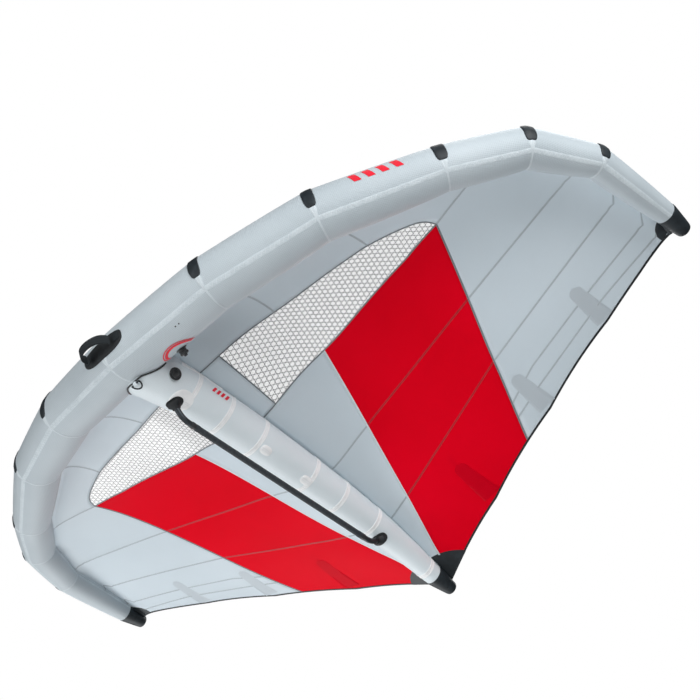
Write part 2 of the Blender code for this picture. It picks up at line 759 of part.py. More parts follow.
def build_leash_loop(materials, carrier, strut_solid):
    """A small ring that swings in a sewn tab beside the mouth of the strut."""
    foot, out = strut_point(LEASH_Y, LEASH_ANGLE)
    bar = out.cross(BACK).normalized()
    rise = bar.cross(out).normalized()
    if rise.y < 0.0:
        rise = -rise
    pivot = foot + out * LEASH_STAND
    points = []
    for step in range(13):
        angle = math.pi * step / 12
        points.append(pivot + bar * LEASH_HALF * math.cos(angle) + rise * LEASH_RISE * math.sin(angle))
    for step in range(1, 4):
        points.append(points[12].lerp(points[0], step / 4))
    rings = []
    for index, point in enumerate(points):
        direction = (points[(index + 1) % len(points)] - points[index - 1]).normalized()
        rings.append(circle(point, direction, LEASH_WIRE, 8, out))
    add_object("leash_loop", loft(rings, loop=True), materials["webbing"], carrier, pivot)
    half = TAB_HALF
    rings = []
    for x in (-half * 0.8, half * 0.8):
        rings.append([pivot + bar * x + rise * a + out * b
                      for a, b in ((-half, -LEASH_STAND), (half, -LEASH_STAND), (half, half * 0.3),
                                   (half * 0.5, half), (-half * 0.5, half), (-half, half * 0.3))])
    tab = add_object("leash_tab", loft(rings), materials["webbing"], carrier)
    bore = [circle(pivot + bar * x, bar, LEASH_WIRE + GAP * 2, 12, out) for x in (-half * 2, half * 2)]
    cut(tab, make_cutter("leash_bore", loft(bore), carrier, materials))
    cut(tab, strut_solid)


def build_valve(name, foot, out, along, body, cap, hinge, skins, materials, carrier):
    """A valve through the skins that it fills, and its cap, which opens about a tangent line."""
    hole = turned(foot, out, ((-0.02, VALVE_HOLE), (0.02, VALVE_HOLE)))
    cutter = make_cutter(f"{name}_hole", hole, carrier, materials)
    for skin in skins:
        cut(skin, cutter)
    add_object(f"{name}_body", turned(foot, out, body), materials["valve_plastic"], carrier)
    pivot = foot + out * hinge[0] + along * hinge[1]
    add_object(f"{name}_cap", turned(foot, out, cap), materials["valve_plastic"], carrier, pivot)


def build():
    clear_scene()
    materials = make_materials()
    carrier = bpy.data.objects.new("wing", None)
    carrier.location = -GRIP_CENTRE
    bpy.context.scene.collection.objects.link(carrier)

    panels = build_leading_edge(materials, carrier)
    le_bladder = build_le_bladder(materials, carrier)
    build_wear_pads(materials, carrier)
    sleeve, strut_bladder = build_strut(materials, carrier)
    build_strut_cap(materials, carrier)
    build_canopy(materials, carrier)
    build_spine(materials, carrier)
    build_battens(materials, carrier)

    solid_ys = [row[0] for row in STRUT_STATIONS]
    strut_solid = make_cutter("strut_solid", loft([strut_ring(y, MOUTH_GAP / 2) for y in solid_ys]),
                              carrier, materials)
    build_boom(materials, carrier, strut_solid)
    build_front_handle(materials, carrier)
    build_leash_loop(materials, carrier, strut_solid)

    foot, out, along = beside_panel(0, VALVE_SHARE, VALVE_ANGLE, 1)
    build_valve("inflation_valve", foot, out, along, VALVE_BODY, VALVE_CAP, VALVE_HINGE,
                (panels["le_panel_right_1"], le_bladder), materials, carrier)
    foot, out = strut_point(STRUT_VALVE_Y, STRUT_VALVE_ANGLE)
    build_valve("strut_valve", foot, out, BACK.cross(out) * -1.0, STRUT_VALVE_BODY, STRUT_VALVE_CAP,
                STRUT_VALVE_HINGE, (sleeve, strut_bladder), materials, carrier)


build()
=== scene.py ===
"""Looks of the inflatable hand-held wing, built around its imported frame.

Wing axes: X runs across the span to the wing's right, Y from the leading edge to the trailing edge, Z up to
the canopy side, from the middle of the leading edge. HOME takes them to the row frame. Units are metres,
angles are degrees.
"""
import math

import bmesh
import bpy
from mathutils import Matrix, Vector, noise


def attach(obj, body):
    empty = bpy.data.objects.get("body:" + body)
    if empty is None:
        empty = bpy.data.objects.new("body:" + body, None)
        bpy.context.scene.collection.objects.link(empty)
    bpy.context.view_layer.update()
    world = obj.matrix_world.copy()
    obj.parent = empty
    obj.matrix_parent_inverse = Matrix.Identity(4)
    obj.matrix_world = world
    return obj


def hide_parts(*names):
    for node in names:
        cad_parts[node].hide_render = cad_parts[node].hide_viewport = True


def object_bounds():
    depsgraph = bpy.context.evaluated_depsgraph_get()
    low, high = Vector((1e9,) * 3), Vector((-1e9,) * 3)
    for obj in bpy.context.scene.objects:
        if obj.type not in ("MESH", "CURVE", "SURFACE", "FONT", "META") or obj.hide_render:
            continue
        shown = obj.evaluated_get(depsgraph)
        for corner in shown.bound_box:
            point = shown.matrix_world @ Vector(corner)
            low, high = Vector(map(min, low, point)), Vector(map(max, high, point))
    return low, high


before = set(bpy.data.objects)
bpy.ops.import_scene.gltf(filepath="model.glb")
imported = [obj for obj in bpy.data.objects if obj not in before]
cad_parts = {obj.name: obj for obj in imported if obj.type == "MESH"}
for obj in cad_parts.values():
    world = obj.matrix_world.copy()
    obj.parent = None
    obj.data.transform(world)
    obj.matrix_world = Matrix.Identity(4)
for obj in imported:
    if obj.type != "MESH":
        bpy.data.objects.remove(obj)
cad_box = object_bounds()

HOME = Vector((0.0, -0.8, 0.032))
ACROSS = Vector((1.0, 0.0, 0.0))
BACK = Vector((0.0, 1.0, 0.0))
UP = Vector((0.0, 0.0, 1.0))
SIDES = (("right", 1), ("left", -1))

# Leading edge tube, right half: x, y, z and tube radius at each seam between its panels, and the tip
LE_ENDS = (
    (0.000, 0.004, 0.042, 0.1100),
    (0.437, 0.044, 0.114, 0.1070),
    (0.862, 0.162, 0.225, 0.0986),
    (1.267, 0.375, 0.328, 0.0834),
    (1.505, 0.554, 0.408, 0.0750),
    (1.637, 0.797, 0.460, 0.0620),
    (1.680, 1.190, 0.507, 0.0430),
    (1.684, 1.300, 0.518, 0.0310),
)
LAST_SEAM = len(LE_ENDS) - 2
TUBE_SIDES = 96
TUBE_ROWS = 22
SWELL = 0.0026
PINCH = 0.0010
PUCKER = 0.0006
PUCKER_REACH = 0.028
TAPE_ANGLE = -112.0
TAPE_HALF = 0.0115
SEAT_TAPE_HALF = 0.016
RING_HALF = 0.0042
RING_WIDEST = 227.0
TUCK = -0.0004

# Trailing edge at the same stations, and the canopy's shape between the two
TRAILING_EDGE = (
    (0.000, 1.790, 0.086),
    (0.421, 1.628, 0.196),
    (0.844, 1.492, 0.319),
    (1.241, 1.383, 0.439),
    (1.456, 1.333, 0.493),
    (1.579, 1.299, 0.518),
    (1.630, 1.279, 0.524),
)
CANOPY_SEAT = 16.0
SEAT_LIFT = 0.0020
CANOPY_CAMBER = 0.180
CAMBER_FADE = 1.38
CAMBER_FRONT = 0.665
CAMBER_REAR = 1.94
CLOTH = 0.0008
STRUT_PULL = 0.15
PULL_START = 0.03
SCALLOP = 0.012
SCALLOP_ENDS = (0.0, 1.0, 2.0, 3.0, 6.0)

# Canopy seams of the right half: stations along the leading edge, counted in its seams, and shares of
# the chord there
FRONT_LINE = ((0.215, 0.000), (1.277, 0.000), (2.338, 0.000), (3.400, 0.000))
FRONT_SEAM = ((0.171, 0.105), (0.390, 0.112), (1.000, 0.143), (1.650, 0.145), (2.200, 0.140),
              (2.500, 0.149), (2.582, 0.190))
MIDDLE_SEAM = ((0.157, 0.304), (0.330, 0.306), (0.958, 0.324), (1.509, 0.306), (2.058, 0.268),
               (2.330, 0.232), (2.582, 0.190))
WINDOW_START = 1.0 / 6.0
STRUT_LINE = ((0.157, 0.304), (0.138, 0.557), (0.110, 0.770), (0.085, 0.900), (0.078, 0.996))
RED_INNER = ((0.958, 0.324), (0.718, 0.525), (0.470, 0.715), (0.195, 0.905), (0.150, 0.996))
RED_OUTER = ((2.582, 0.190), (2.258, 0.500), (1.960, 0.746), (1.800, 0.868), (1.624, 0.996))
TIP_LINE = ((3.400, 0.000), (4.750, 0.000), (5.500, 0.000), (5.970, 0.050), (5.970, 0.996))
CROSS_SEAMS = {
    "seam": (
        ((3.400, 0.003), (2.582, 0.190)),
        ((0.140, 0.535), (0.690, 0.548)),
        ((2.252, 0.506), (4.880, 0.003)),
        ((0.113, 0.750), (0.424, 0.747)),
        ((1.988, 0.724), (5.450, 0.050)),
        ((1.810, 0.868), (2.192, 0.846), (3.040, 0.830), (5.850, 0.100)),
        ((1.745, 0.915), (2.070, 0.911), (3.200, 0.906), (5.930, 0.600)),
        ((1.050, 0.003), (0.985, 0.142)),
        ((2.060, 0.003), (2.035, 0.143)),
    ),
    "red_seam": (
        ((0.690, 0.548), (2.252, 0.506)),
        ((0.424, 0.747), (1.988, 0.724)),
    ),
}
HEM_START = 0.078
HEM_END = 5.985
POCKET_END = 0.980
POCKETS = ((1.0, 0.830, "red_pocket"), (2.0, 0.812, "pocket"), (3.0, 0.759, "pocket"))

# Corner patches: x and y of the corner, radius, and the slice from one angle to another
REAR_CORNER = (0.012, 1.786, 0.165, -86.0, -22.0)
TIP_CORNER = (1.655, 1.255, 0.062, -200.0, -95.0)
CORNER_LIFT = 0.0021

# Strut: y, height of its axis and radius
STRUT_STATIONS = (
    (0.000, 0.042, 0.0960),
    (0.090, 0.056, 0.1060),
    (0.170, 0.068, 0.1000),
    (0.290, 0.086, 0.0910),
    (0.550, 0.103, 0.0870),
    (0.800, 0.111, 0.0820),
    (1.100, 0.112, 0.0740),
    (1.350, 0.103, 0.0640),
    (1.540, 0.082, 0.0530),
    (1.690, 0.058, 0.0430),
)
STRUT_SETTLE = 0.290
STRUT_END = 1.690
STRUT_CAP_END = (1.800, 0.056, 0.0300)
STRUT_SIDES = 80
STRUT_SPREAD = 50.0
STRUT_SPREAD_FRONT = 84.0
SPREAD_START = 0.300
SPREAD_LENGTH = 0.180
STRIP_LIFT = 0.0016
STRUT_BANDS = (0.290, 0.456, 0.633, 0.917, 1.090, 1.285, 1.625)
STRUT_BUMPS = ((0.674, -63.0), (0.898, -69.0))

# Strips on the strut's flanks, doubled cloth and a dark strip of painted shadow in the crease under the
# canopy: its ends in y, and its width at each
FLAPS = (
    ("strut_flap", "bright", 0.190, 0.400, 0.025, 0.025),
    # The second row is dark cloth painted as the shadow in the crease between strut and canopy
    ("strut_painted_shadow", "painted_shadow", 0.400, 0.740, 0.022, 0.001),
)

# Boom: the corners of its side view, y and z, and the boots that hold its ends
BOOM_FRONT_BEND = Vector((0.0, 0.302, -0.058))
BOOM_REAR_BEND = Vector((0.0, 1.298, -0.006))
BOOM_RADIUS = 0.0115
BOOM_ELBOW = 0.034
GRIP_RADIUS = 0.0123
GRIP_INSET = 0.060
BOOT_YS = (("front", 0.252), ("rear", 1.345))
BOOT_HEIGHT = 0.022

# A boot's distance out from the strut, and its half widths across it and along it
BOOT_PROFILE = (
    (-0.006, 0.031, 0.024), (0.006, 0.0290, 0.0225), (0.0095, 0.0245, 0.0205), (0.0135, 0.0200, 0.0185),
    (0.0175, 0.0172, 0.0168), (0.0205, 0.0160, 0.0160), (0.0225, 0.0160, 0.0160), (0.0235, 0.0148, 0.0148),
    (0.0235, 0.0118, 0.0118),
)

# Patches, handle, leash loop and valves
PAD_MIDDLE = -177.5
PAD_HALF = 38.5
PAD_WIDTH = 0.044
PAD_THICK = 0.0034
HANDLE_ANGLE = -152.0
HANDLE_HALF = 0.104
HANDLE_SPREAD = 0.037
LOOP_HALF = 0.066
LOOP_RISE = 0.056
LOOP_LIFT = 0.0110
STRAP_WIDTH = 0.037
STRAP_THICK = 0.0050
LEASH_PIVOT = Vector((0.00786, 0.0740, -0.05894))
LEASH_ANGLE = -86.0
LEASH_HALF = 0.020
LEASH_RISE = 0.026
LEASH_WIRE = 0.0030
VALVE_SHARE = 0.46
VALVE_ANGLE = -30.0
STRUT_VALVE_Y = 0.178
STRUT_VALVE_ANGLE = -28.0

# Camera and studio
CAMERA_PLACE = Vector((2.420, -1.866, -3.125))
CAMERA_RIGHT = Vector((0.70003, 0.71348, 0.03005))
CAMERA_UP = Vector((0.55630, -0.57124, 0.60351))
CAMERA_LENS = 56.57
FLOOR_DROP = 5.4
FLOOR_HALF = 40.0
WORLD_LIGHT = 0.06
LIGHT_DISTANCE = 6.5
LIGHT_WIDTH = 4.0
LIGHTS = (
    ("low_left", (-0.45, -0.80, -0.50), 130.0),
    ("nose", (-0.10, -0.90, -0.20), 80.0),
    ("right", (0.90, -0.40, 0.00), 370.0),
    ("left_rear", (-0.70, 0.50, -0.50), 250.0),
    ("top", (0.30, 0.10, 1.00), 190.0),
    ("rear", (-0.20, 0.80, 0.60), 190.0),
)

# Threads of the ripstop cloth, the tapes and the window
RIP_PITCH = 0.006
RIP_THREAD = 0.0009
ZIGZAG_STEP = 0.009
WINDOW_THREADS = ((18.0, 0.0), (78.0, 0.5), (138.0, 0.0))
WINDOW_PITCH = 0.0185
WINDOW_THREAD = 0.0013


def shares(count):
    """0 to 1 in even steps."""
    return [step / count for step in range(count + 1)]


def cos_sin(degrees):
    return math.cos(math.radians(degrees)), math.sin(math.radians(degrees))


# ---------------------------------------------------------------- materials

def add_node(tree, kind, inputs=(), **settings):
    """A shader node with its settings and its inputs, each of which is a value or another node's output."""
    made = tree.nodes.new(kind)
    for key, value in settings.items():
        setattr(made, key, value)
    for key, value in dict(inputs).items():
        if isinstance(value, bpy.types.NodeSocket):
            tree.links.new(value, made.inputs[key])
        else:
            made.inputs[key].default_value = value
    return made


def sum_of(tree, operation, first, second=0.0, third=0.0):
    return add_node(tree, "ShaderNodeMath", {0: first, 1: second, 2: third}, operation=operation).outputs[0]


def new_material(name, roughness, metallic=0.0, specular=0.5, sheen=0.0):
    material = bpy.data.materials.new(name)
    material.use_nodes = True
    tree = material.node_tree
    shader = tree.nodes["Principled BSDF"]
    for key, value in (("Roughness", roughness), ("Metallic", metallic), ("Specular IOR Level", specular),
                       ("Sheen Weight", sheen)):
        shader.inputs[key].default_value = value
    return material, tree, shader


def coordinates(tree, kind):
    return add_node(tree, "ShaderNodeTexCoord").outputs[kind]


def noise_factor(tree, place, scale, detail=3.0):
    inputs = {"Vector": place, "Scale": scale, "Detail": detail}
    return add_node(tree, "ShaderNodeTexNoise", inputs).outputs[0]


def ramp(tree, factor, low, high, start=0.0, end=1.0):
    made = add_node(tree, "ShaderNodeValToRGB", {0: factor})
    made.color_ramp.elements[0].color = (*low, 1.0)
    made.color_ramp.elements[1].color = (*high, 1.0)
    made.color_ramp.elements[0].position = start
    made.color_ramp.elements[1].position = end
    return made.outputs[0]


def mixed(tree, factor, first, second):
    made = add_node(tree, "ShaderNodeMix", {0: factor, 6: first, 7: second}, data_type="RGBA")
    return made.outputs[2]


def split(tree, place):
    return add_node(tree, "ShaderNodeSeparateXYZ", {0: place}).outputs


def paint(tree, shader, colour):
    tree.links.new(colour, shader.inputs["Base Color"])


def scaled(tree, colour, shade):
    return add_node(tree, "ShaderNodeVectorMath", {0: colour, 3: shade}, operation="SCALE").outputs[0]


def thread_wave(tree, along, pitch):
    """A rounded ridge for each thread that crosses this direction, 0 to 1."""
    turn = sum_of(tree, "MULTIPLY", along, 2.0 * math.pi / pitch)
    return sum_of(tree, "MULTIPLY_ADD", sum_of(tree, "SINE", turn), 0.5, 0.5)


def weave(tree, place, pitch):
    """Two sets of threads that pass over and under each other."""
    u, v, _ = split(tree, place)
    return sum_of(tree, "MAXIMUM", thread_wave(tree, u, pitch), thread_wave(tree, v, pitch))


def grid_lines(tree, place, pitch, width):
    """1 on the lines of a square grid, as in ripstop cloth."""
    lines = []
    for along in split(tree, place)[:2]:
        off = sum_of(tree, "PINGPONG", along, pitch / 2)
        lines.append(sum_of(tree, "LESS_THAN", off, width / 2))
    return sum_of(tree, "MAXIMUM", *lines)


def bumped(tree, shader, height, distance, strength=1.0):
    made = add_node(tree, "ShaderNodeBump", {"Height": height, "Distance": distance, "Strength": strength})
    tree.links.new(made.outputs[0], shader.inputs["Normal"])


def tube_cloth(name, low, high, pitch, depth):
    """Tightly woven polyester of the inflated tubes: faint cloudy tone, coarse threads and a soft sheen."""
    material, tree, shader = new_material(name, 0.48, specular=0.35, sheen=0.12)
    tone = ramp(tree, noise_factor(tree, coordinates(tree, "Object"), 3.5), low, high, 0.3, 0.7)
    threads = weave(tree, coordinates(tree, "UV"), pitch)
    paint(tree, shader, scaled(tree, tone, sum_of(tree, "MULTIPLY_ADD", threads, 0.14, 0.89)))
    bumped(tree, shader, threads, depth)
    return material


def canopy_cloth(name, low, high, glow, strength, sheen=0.1, specular=0.4):
    """Thin ripstop cloth: a fine square grid, a cloudy tone, and light that comes through from behind."""
    material, tree, shader = new_material(name, 0.42, specular=specular, sheen=sheen)
    shader.inputs["Sheen Roughness"].default_value = 0.4
    place = coordinates(tree, "Object")
    tone = ramp(tree, noise_factor(tree, place, 1.8), low, high, 0.3, 0.7)
    rip = grid_lines(tree, place, RIP_PITCH, RIP_THREAD)
    paint(tree, shader, scaled(tree, tone, sum_of(tree, "MULTIPLY_ADD", rip, -0.05, 1.0)))
    crumple = noise_factor(tree, place, 26.0, 2.0)
    bumped(tree, shader, sum_of(tree, "MULTIPLY_ADD", rip, 0.35, crumple), 0.0009, 0.5)
    through = add_node(tree, "ShaderNodeBsdfTranslucent", {0: (*glow, 1.0)}).outputs[0]
    blend = add_node(tree, "ShaderNodeMixShader", {0: strength, 1: shader.outputs[0], 2: through})
    tree.links.new(blend.outputs[0], tree.nodes["Material Output"].inputs[0])
    return material


def seam_tape(name, base, thread, half, sheen=0.1):
    """A folded seam: cloth with a row of stitches along each edge."""
    material, tree, shader = new_material(name, 0.55, specular=0.3, sheen=sheen)
    u, v, _ = split(tree, coordinates(tree, "UV"))
    off = sum_of(tree, "SUBTRACT", sum_of(tree, "ABSOLUTE", v), half * 0.62)
    row = sum_of(tree, "LESS_THAN", sum_of(tree, "ABSOLUTE", off), 0.0007)
    dash = sum_of(tree, "LESS_THAN", sum_of(tree, "PINGPONG", u, 0.002), 0.0014)
    stitch = sum_of(tree, "MULTIPLY", row, dash)
    cloud = noise_factor(tree, coordinates(tree, "Object"), 40.0)
    cloth = ramp(tree, cloud, tuple(x * 0.93 for x in base), base, 0.35, 0.65)
    paint(tree, shader, mixed(tree, stitch, cloth, (*thread, 1.0)))
    bumped(tree, shader, sum_of(tree, "MULTIPLY_ADD", stitch, 0.8, cloud), 0.0006)
    return material


def zigzag_tape():
    """The long tape on the leading edge, with a zigzag row of stitches."""
    material, tree, shader = new_material("zigzag_tape", 0.5, specular=0.3)
    u, v, _ = split(tree, coordinates(tree, "UV"))
    path = sum_of(tree, "PINGPONG", u, ZIGZAG_STEP)
    centred = sum_of(tree, "SUBTRACT", path, ZIGZAG_STEP / 2)
    off = sum_of(tree, "ABSOLUTE", sum_of(tree, "MULTIPLY_ADD", centred, -1.6, v))
    stitch = sum_of(tree, "LESS_THAN", off, 0.0011)
    cloud = noise_factor(tree, coordinates(tree, "Object"), 30.0)
    cloth = ramp(tree, cloud, (0.54, 0.61, 0.65), (0.61, 0.68, 0.72), 0.35, 0.65)
    paint(tree, shader, mixed(tree, stitch, cloth, (0.76, 0.82, 0.86, 1.0)))
    bumped(tree, shader, sum_of(tree, "MULTIPLY_ADD", stitch, 1.0, cloud), 0.0008)
    return material


def window_film():
    """Clear film with dark reinforcing threads that cross in three directions."""
    material, tree, shader = new_material("window_film", 0.18)
    place = coordinates(tree, "Object")
    lines = 0.0
    for angle, shift in WINDOW_THREADS:
        across = add_node(tree, "ShaderNodeVectorMath", {0: place, 1: (*cos_sin(angle), 0.0)},
                          operation="DOT_PRODUCT").outputs["Value"]
        shifted = sum_of(tree, "ADD", across, shift * WINDOW_PITCH)
        off = sum_of(tree, "PINGPONG", shifted, WINDOW_PITCH / 2)
        lines = sum_of(tree, "MAXIMUM", sum_of(tree, "LESS_THAN", off, WINDOW_THREAD / 2), lines)
    paint(tree, shader, mixed(tree, lines, (0.93, 0.95, 0.96, 1.0), (0.05, 0.055, 0.06, 1.0)))
    tree.links.new(sum_of(tree, "MULTIPLY_ADD", lines, 0.66, 0.26), shader.inputs["Alpha"])
    bumped(tree, shader, lines, 0.0003)
    return material


def moulded(name, low, high, roughness, grain, depth, metallic=0.0):
    """Black plastic, rubber or foam: a grain of its own scale and paler scuffs."""
    material, tree, shader = new_material(name, roughness, metallic, 0.45)
    place = coordinates(tree, "Object")
    scuff = noise_factor(tree, place, grain * 0.09, 5.0)
    paint(tree, shader, ramp(tree, scuff, low, high, 0.42, 0.72))
    rough = add_node(tree, "ShaderNodeMapRange", {0: scuff, 3: roughness - 0.08, 4: roughness + 0.10})
    tree.links.new(rough.outputs[0], shader.inputs["Roughness"])
    bumped(tree, shader, noise_factor(tree, place, grain, 2.0), depth)
    return material


def webbing(name, low, high, rib):
    """Woven strap: ribs across its length and a fine twill between them."""
    material, tree, shader = new_material(name, 0.82, specular=0.3)
    u, v, _ = split(tree, coordinates(tree, "UV"))
    slant = sum_of(tree, "MULTIPLY_ADD", v, 0.7, u)
    ribs = sum_of(tree, "MAXIMUM", thread_wave(tree, slant, rib), thread_wave(tree, v, rib * 1.4))
    paint(tree, shader, ramp(tree, ribs, low, high))
    bumped(tree, shader, ribs, 0.0006)
    return material


def clear_film(name, colour):
    """Bladder film: milky, slightly creased and see-through."""
    material, tree, shader = new_material(name, 0.25)
    crease = noise_factor(tree, coordinates(tree, "Object"), 18.0, 4.0)
    paint(tree, shader, ramp(tree, crease, tuple(x * 0.85 for x in colour), colour))
    shader.inputs["Alpha"].default_value = 0.5
    bumped(tree, shader, crease, 0.001)
    return material


# The leading edge and the strut are one cloth: the leading edge's colour is painted darker as painted shade,
# and the strut's lighter as painted light
SHADED_TUBE_LOW = (0.455, 0.520, 0.560)
SHADED_TUBE_HIGH = (0.505, 0.570, 0.610)
MATERIALS = {
    "tube": (tube_cloth("tube_polyester_painted_shade", SHADED_TUBE_LOW, SHADED_TUBE_HIGH, 0.0062, 0.0006), "tube_cloth"),
    # Strut cloth, painted lighter than the leading edge's cloth as painted light
    "strut": (tube_cloth("strut_polyester_painted_light", (0.71, 0.79, 0.83), (0.77, 0.85, 0.89), 0.0026, 0.0002),
              "tube_cloth"),
    "canopy": (canopy_cloth("pale_ripstop", (0.70, 0.78, 0.83), (0.77, 0.85, 0.90), (0.80, 0.86, 0.90),
                            0.34), "canopy_cloth"),
    "pocket": (canopy_cloth("pocket_ripstop", (0.63, 0.70, 0.75), (0.69, 0.76, 0.81), (0.70, 0.76, 0.80),
                            0.28), "canopy_cloth"),
    "red": (canopy_cloth("red_ripstop", (0.80, 0.0005, 0.016), (0.92, 0.0005, 0.023), (0.95, 0.001, 0.022),
                         0.34, 0.0, 0.03), "red_cloth"),
    "red_pocket": (canopy_cloth("red_pocket_cloth", (0.72, 0.0005, 0.014), (0.84, 0.0005, 0.020),
                                (0.84, 0.001, 0.018), 0.28, 0.0, 0.03), "red_cloth"),
    "seam": (seam_tape("grey_seam", (0.46, 0.52, 0.56), (0.66, 0.72, 0.76), 0.0055), "canopy_cloth"),
    "red_seam": (seam_tape("red_seam", (0.52, 0.002, 0.010), (0.66, 0.06, 0.08), 0.0055, 0.0), "red_cloth"),
    "edge_seam": (seam_tape("edge_seam", (0.16, 0.18, 0.20), (0.40, 0.44, 0.46), 0.0030), "canopy_cloth"),
    "white_seam": (seam_tape("white_seam", (0.70, 0.76, 0.80), (0.88, 0.91, 0.93), 0.0080), "tube_cloth"),
    "bright": (seam_tape("bright_tape", (0.95, 0.97, 0.98), (0.70, 0.76, 0.80), 0.0060), "tube_cloth"),
    "ring": (seam_tape("ring_tape", (0.60, 0.67, 0.71), (0.76, 0.82, 0.86), 0.0060), "tube_cloth"),
    # Dark grey cloth that paints the shadow in the crease between the strut and the canopy
    "painted_shadow": (canopy_cloth("painted_shadow_ripstop", (0.46, 0.53, 0.57), (0.52, 0.59, 0.63), (0.50, 0.56, 0.60),
                            0.20), "canopy_cloth"),
    "zigzag": (zigzag_tape(), "tube_cloth"),
    "window": (window_film(), "window_mesh"),
    "patch": (moulded("rubber_patch", (0.010, 0.015, 0.019), (0.020, 0.029, 0.036), 0.58, 420.0, 0.00025),
              "black_patch"),
    "boot": (moulded("boot_rubber", (0.008, 0.010, 0.012), (0.018, 0.024, 0.028), 0.60, 500.0, 0.0003),
             "grip_foam"),
    "tab": (webbing("pale_webbing", (0.62, 0.70, 0.74), (0.74, 0.81, 0.85), 0.0022), "webbing"),
    "handle": (moulded("handle_rubber", (0.006, 0.008, 0.010), (0.014, 0.019, 0.022), 0.66, 500.0, 0.0003),
               "black_patch"),
    "hem": (seam_tape("black_hem", (0.012, 0.014, 0.016), (0.06, 0.07, 0.08), 0.0045, 0.0), "black_patch"),
    "webbing": (webbing("black_webbing", (0.006, 0.008, 0.010), (0.020, 0.026, 0.030), 0.0022), "webbing"),
    "foam": (moulded("grip_foam", (0.022, 0.028, 0.034), (0.040, 0.050, 0.058), 0.72, 900.0, 0.0004),
             "grip_foam"),
    "alloy": (moulded("boom_alloy", (0.030, 0.036, 0.042), (0.060, 0.068, 0.076), 0.36, 260.0, 0.00005,
                      0.6), "boom_alloy"),
    "plastic": (moulded("valve_plastic", (0.014, 0.016, 0.018), (0.034, 0.037, 0.040), 0.40, 600.0, 0.0001),
                "valve_plastic"),
    "print": (tube_cloth("red_print", (0.74, 0.010, 0.030), (0.82, 0.014, 0.038), 0.0042, 0.0003),
              "red_cloth"),
    "film": (clear_film("bladder_film", (0.80, 0.82, 0.84)), "bladder_film"),
    "rod": (moulded("batten_rod", (0.50, 0.52, 0.54), (0.62, 0.64, 0.66), 0.40, 300.0, 0.0001),
            "batten_rod"),
}


# ---------------------------------------------------------------- making pieces

def add_piece(name, shape, finish, body="wing", stands_for=(), thickness=0.0):
    """One piece from points in wing coordinates, faces, and each face corner's place in metres."""
    points, faces, places = shape
    build = bmesh.new()
    corners = [build.verts.new(point + HOME) for point in points]
    layer = build.loops.layers.uv.new("metres")
    for face, corner_places in zip(faces, places):
        made = build.faces.new([corners[index] for index in face])
        for loop, place in zip(made.loops, corner_places):
            loop[layer].uv = place
    bmesh.ops.recalc_face_normals(build, faces=build.faces)
    mesh = bpy.data.meshes.new(name)
    build.to_mesh(mesh)
    build.free()
    mesh.shade_smooth()
    mesh.set_sharp_from_angle(angle=math.radians(42.0))
    material, slot = MATERIALS[finish]
    mesh.materials.append(material)
    piece = bpy.data.objects.new(name, mesh)
    bpy.context.scene.collection.objects.link(piece)
    if thickness:
        solid = piece.modifiers.new("thickness", "SOLIDIFY")
        solid.thickness = thickness
        solid.offset = 0.0
    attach(piece, body)
    if stands_for:
        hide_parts(*stands_for)
    return piece


def joined(shapes):
    """Several shapes as one."""
    points, faces, places = [], [], []
    for more_points, more_faces, more_places in shapes:
        offset = len(points)
        points += more_points
        faces += [tuple(index + offset for index in face) for face in more_faces]
        places += more_places
    return points, faces, places


def skin(grid, places, wrap=False):
    """A sheet over a grid of points. A wrapped one closes on itself: its places have one more column."""
    columns = len(grid[0])
    points = [point for row in grid for point in row]
    faces = []
    corners = []
    for j in range(len(grid) - 1):
        here, there = j * columns, (j + 1) * columns
        for i in range(columns if wrap else columns - 1):
            after = (i + 1) % columns
            faces.append((here + i, here + after, there + after, there + i))
            corners.append((places[j][i], places[j][i + 1], places[j + 1][i + 1], places[j + 1][i]))
    return points, faces, corners


def capped(rings, places):
    """A closed body over rings, with a flat face at each end."""
    points, faces, corners = skin(rings, places, wrap=True)
    count = len(rings[0])
    for first, row in ((0, 0), (len(points) - count, -1)):
        faces.append(tuple(range(first, first + count)))
        corners.append(tuple(places[row][:count]))
    return points, faces, corners


def swept(rows, side, shift=0.0):
    """A closed strip. Each row is its middle, its two directions, the distance walked and its outline."""
    rings = [[on_side(middle + wide * a + high * b, side) for a, b in outline]
             for middle, wide, high, _, outline in rows]
    return capped(rings, [[(walked, a + shift) for a, _ in outline + outline[:1]]
                          for *_, walked, outline in rows])


def loft(rings, ends=True):
    """A tube over closed rings, with flat ends. Its places are the distances along it and round it."""
    places = []
    along = 0.0
    for index, ring in enumerate(rings):
        if index:
            along += (ring[0] - rings[index - 1][0]).length
        girth = sum((a - b).length for a, b in zip(ring, ring[1:] + ring[:1]))
        places.append([(along, girth * turn) for turn in shares(len(ring))])
    return capped(rings, places) if ends else skin(rings, places, wrap=True)


def circle(centre, direction, radius, sides, hint=UP):
    first = (hint - hint.dot(direction) * direction).normalized()
    second = direction.cross(first)
    return [centre + first * a + second * b for a, b in round_section(radius, sides)]


def turned(centre, direction, profile, sides=48, ribs=0, depth=0.0, ribbed=(0.0, 0.0)):
    """A body of revolution: each row of the profile is a distance along the direction and a radius.

    Ribs stand out by depth on the rows between the two distances in ribbed.
    """
    rings = []
    for along, radius in profile:
        middle = centre + direction * along
        ring = circle(middle, direction, radius, sides, ACROSS)
        if ribs and ribbed[0] <= along <= ribbed[1]:
            waves = [0.5 + 0.5 * math.cos(2.0 * math.pi * ribs * turn) for turn in shares(sides)]
            ring = [middle + (point - middle) * (1.0 + depth / radius * wave)
                    for point, wave in zip(ring, waves)]
        rings.append(ring)
    return loft(rings)


def direction_at(points, index):
    return (points[min(index + 1, len(points) - 1)] - points[max(index - 1, 0)]).normalized()


def along_path(points, section, hint):
    """A bar that follows points. The section is a closed outline: offsets across the hint and along it."""
    rings = []
    for index, point in enumerate(points):
        direction = direction_at(points, index)
        high = (hint - hint.dot(direction) * direction).normalized()
        wide = direction.cross(high)
        rings.append([point + wide * a + high * b for a, b in section])
    return loft(rings)


def round_section(radius, sides=20):
    return superellipse(radius, radius, 2.0, sides)


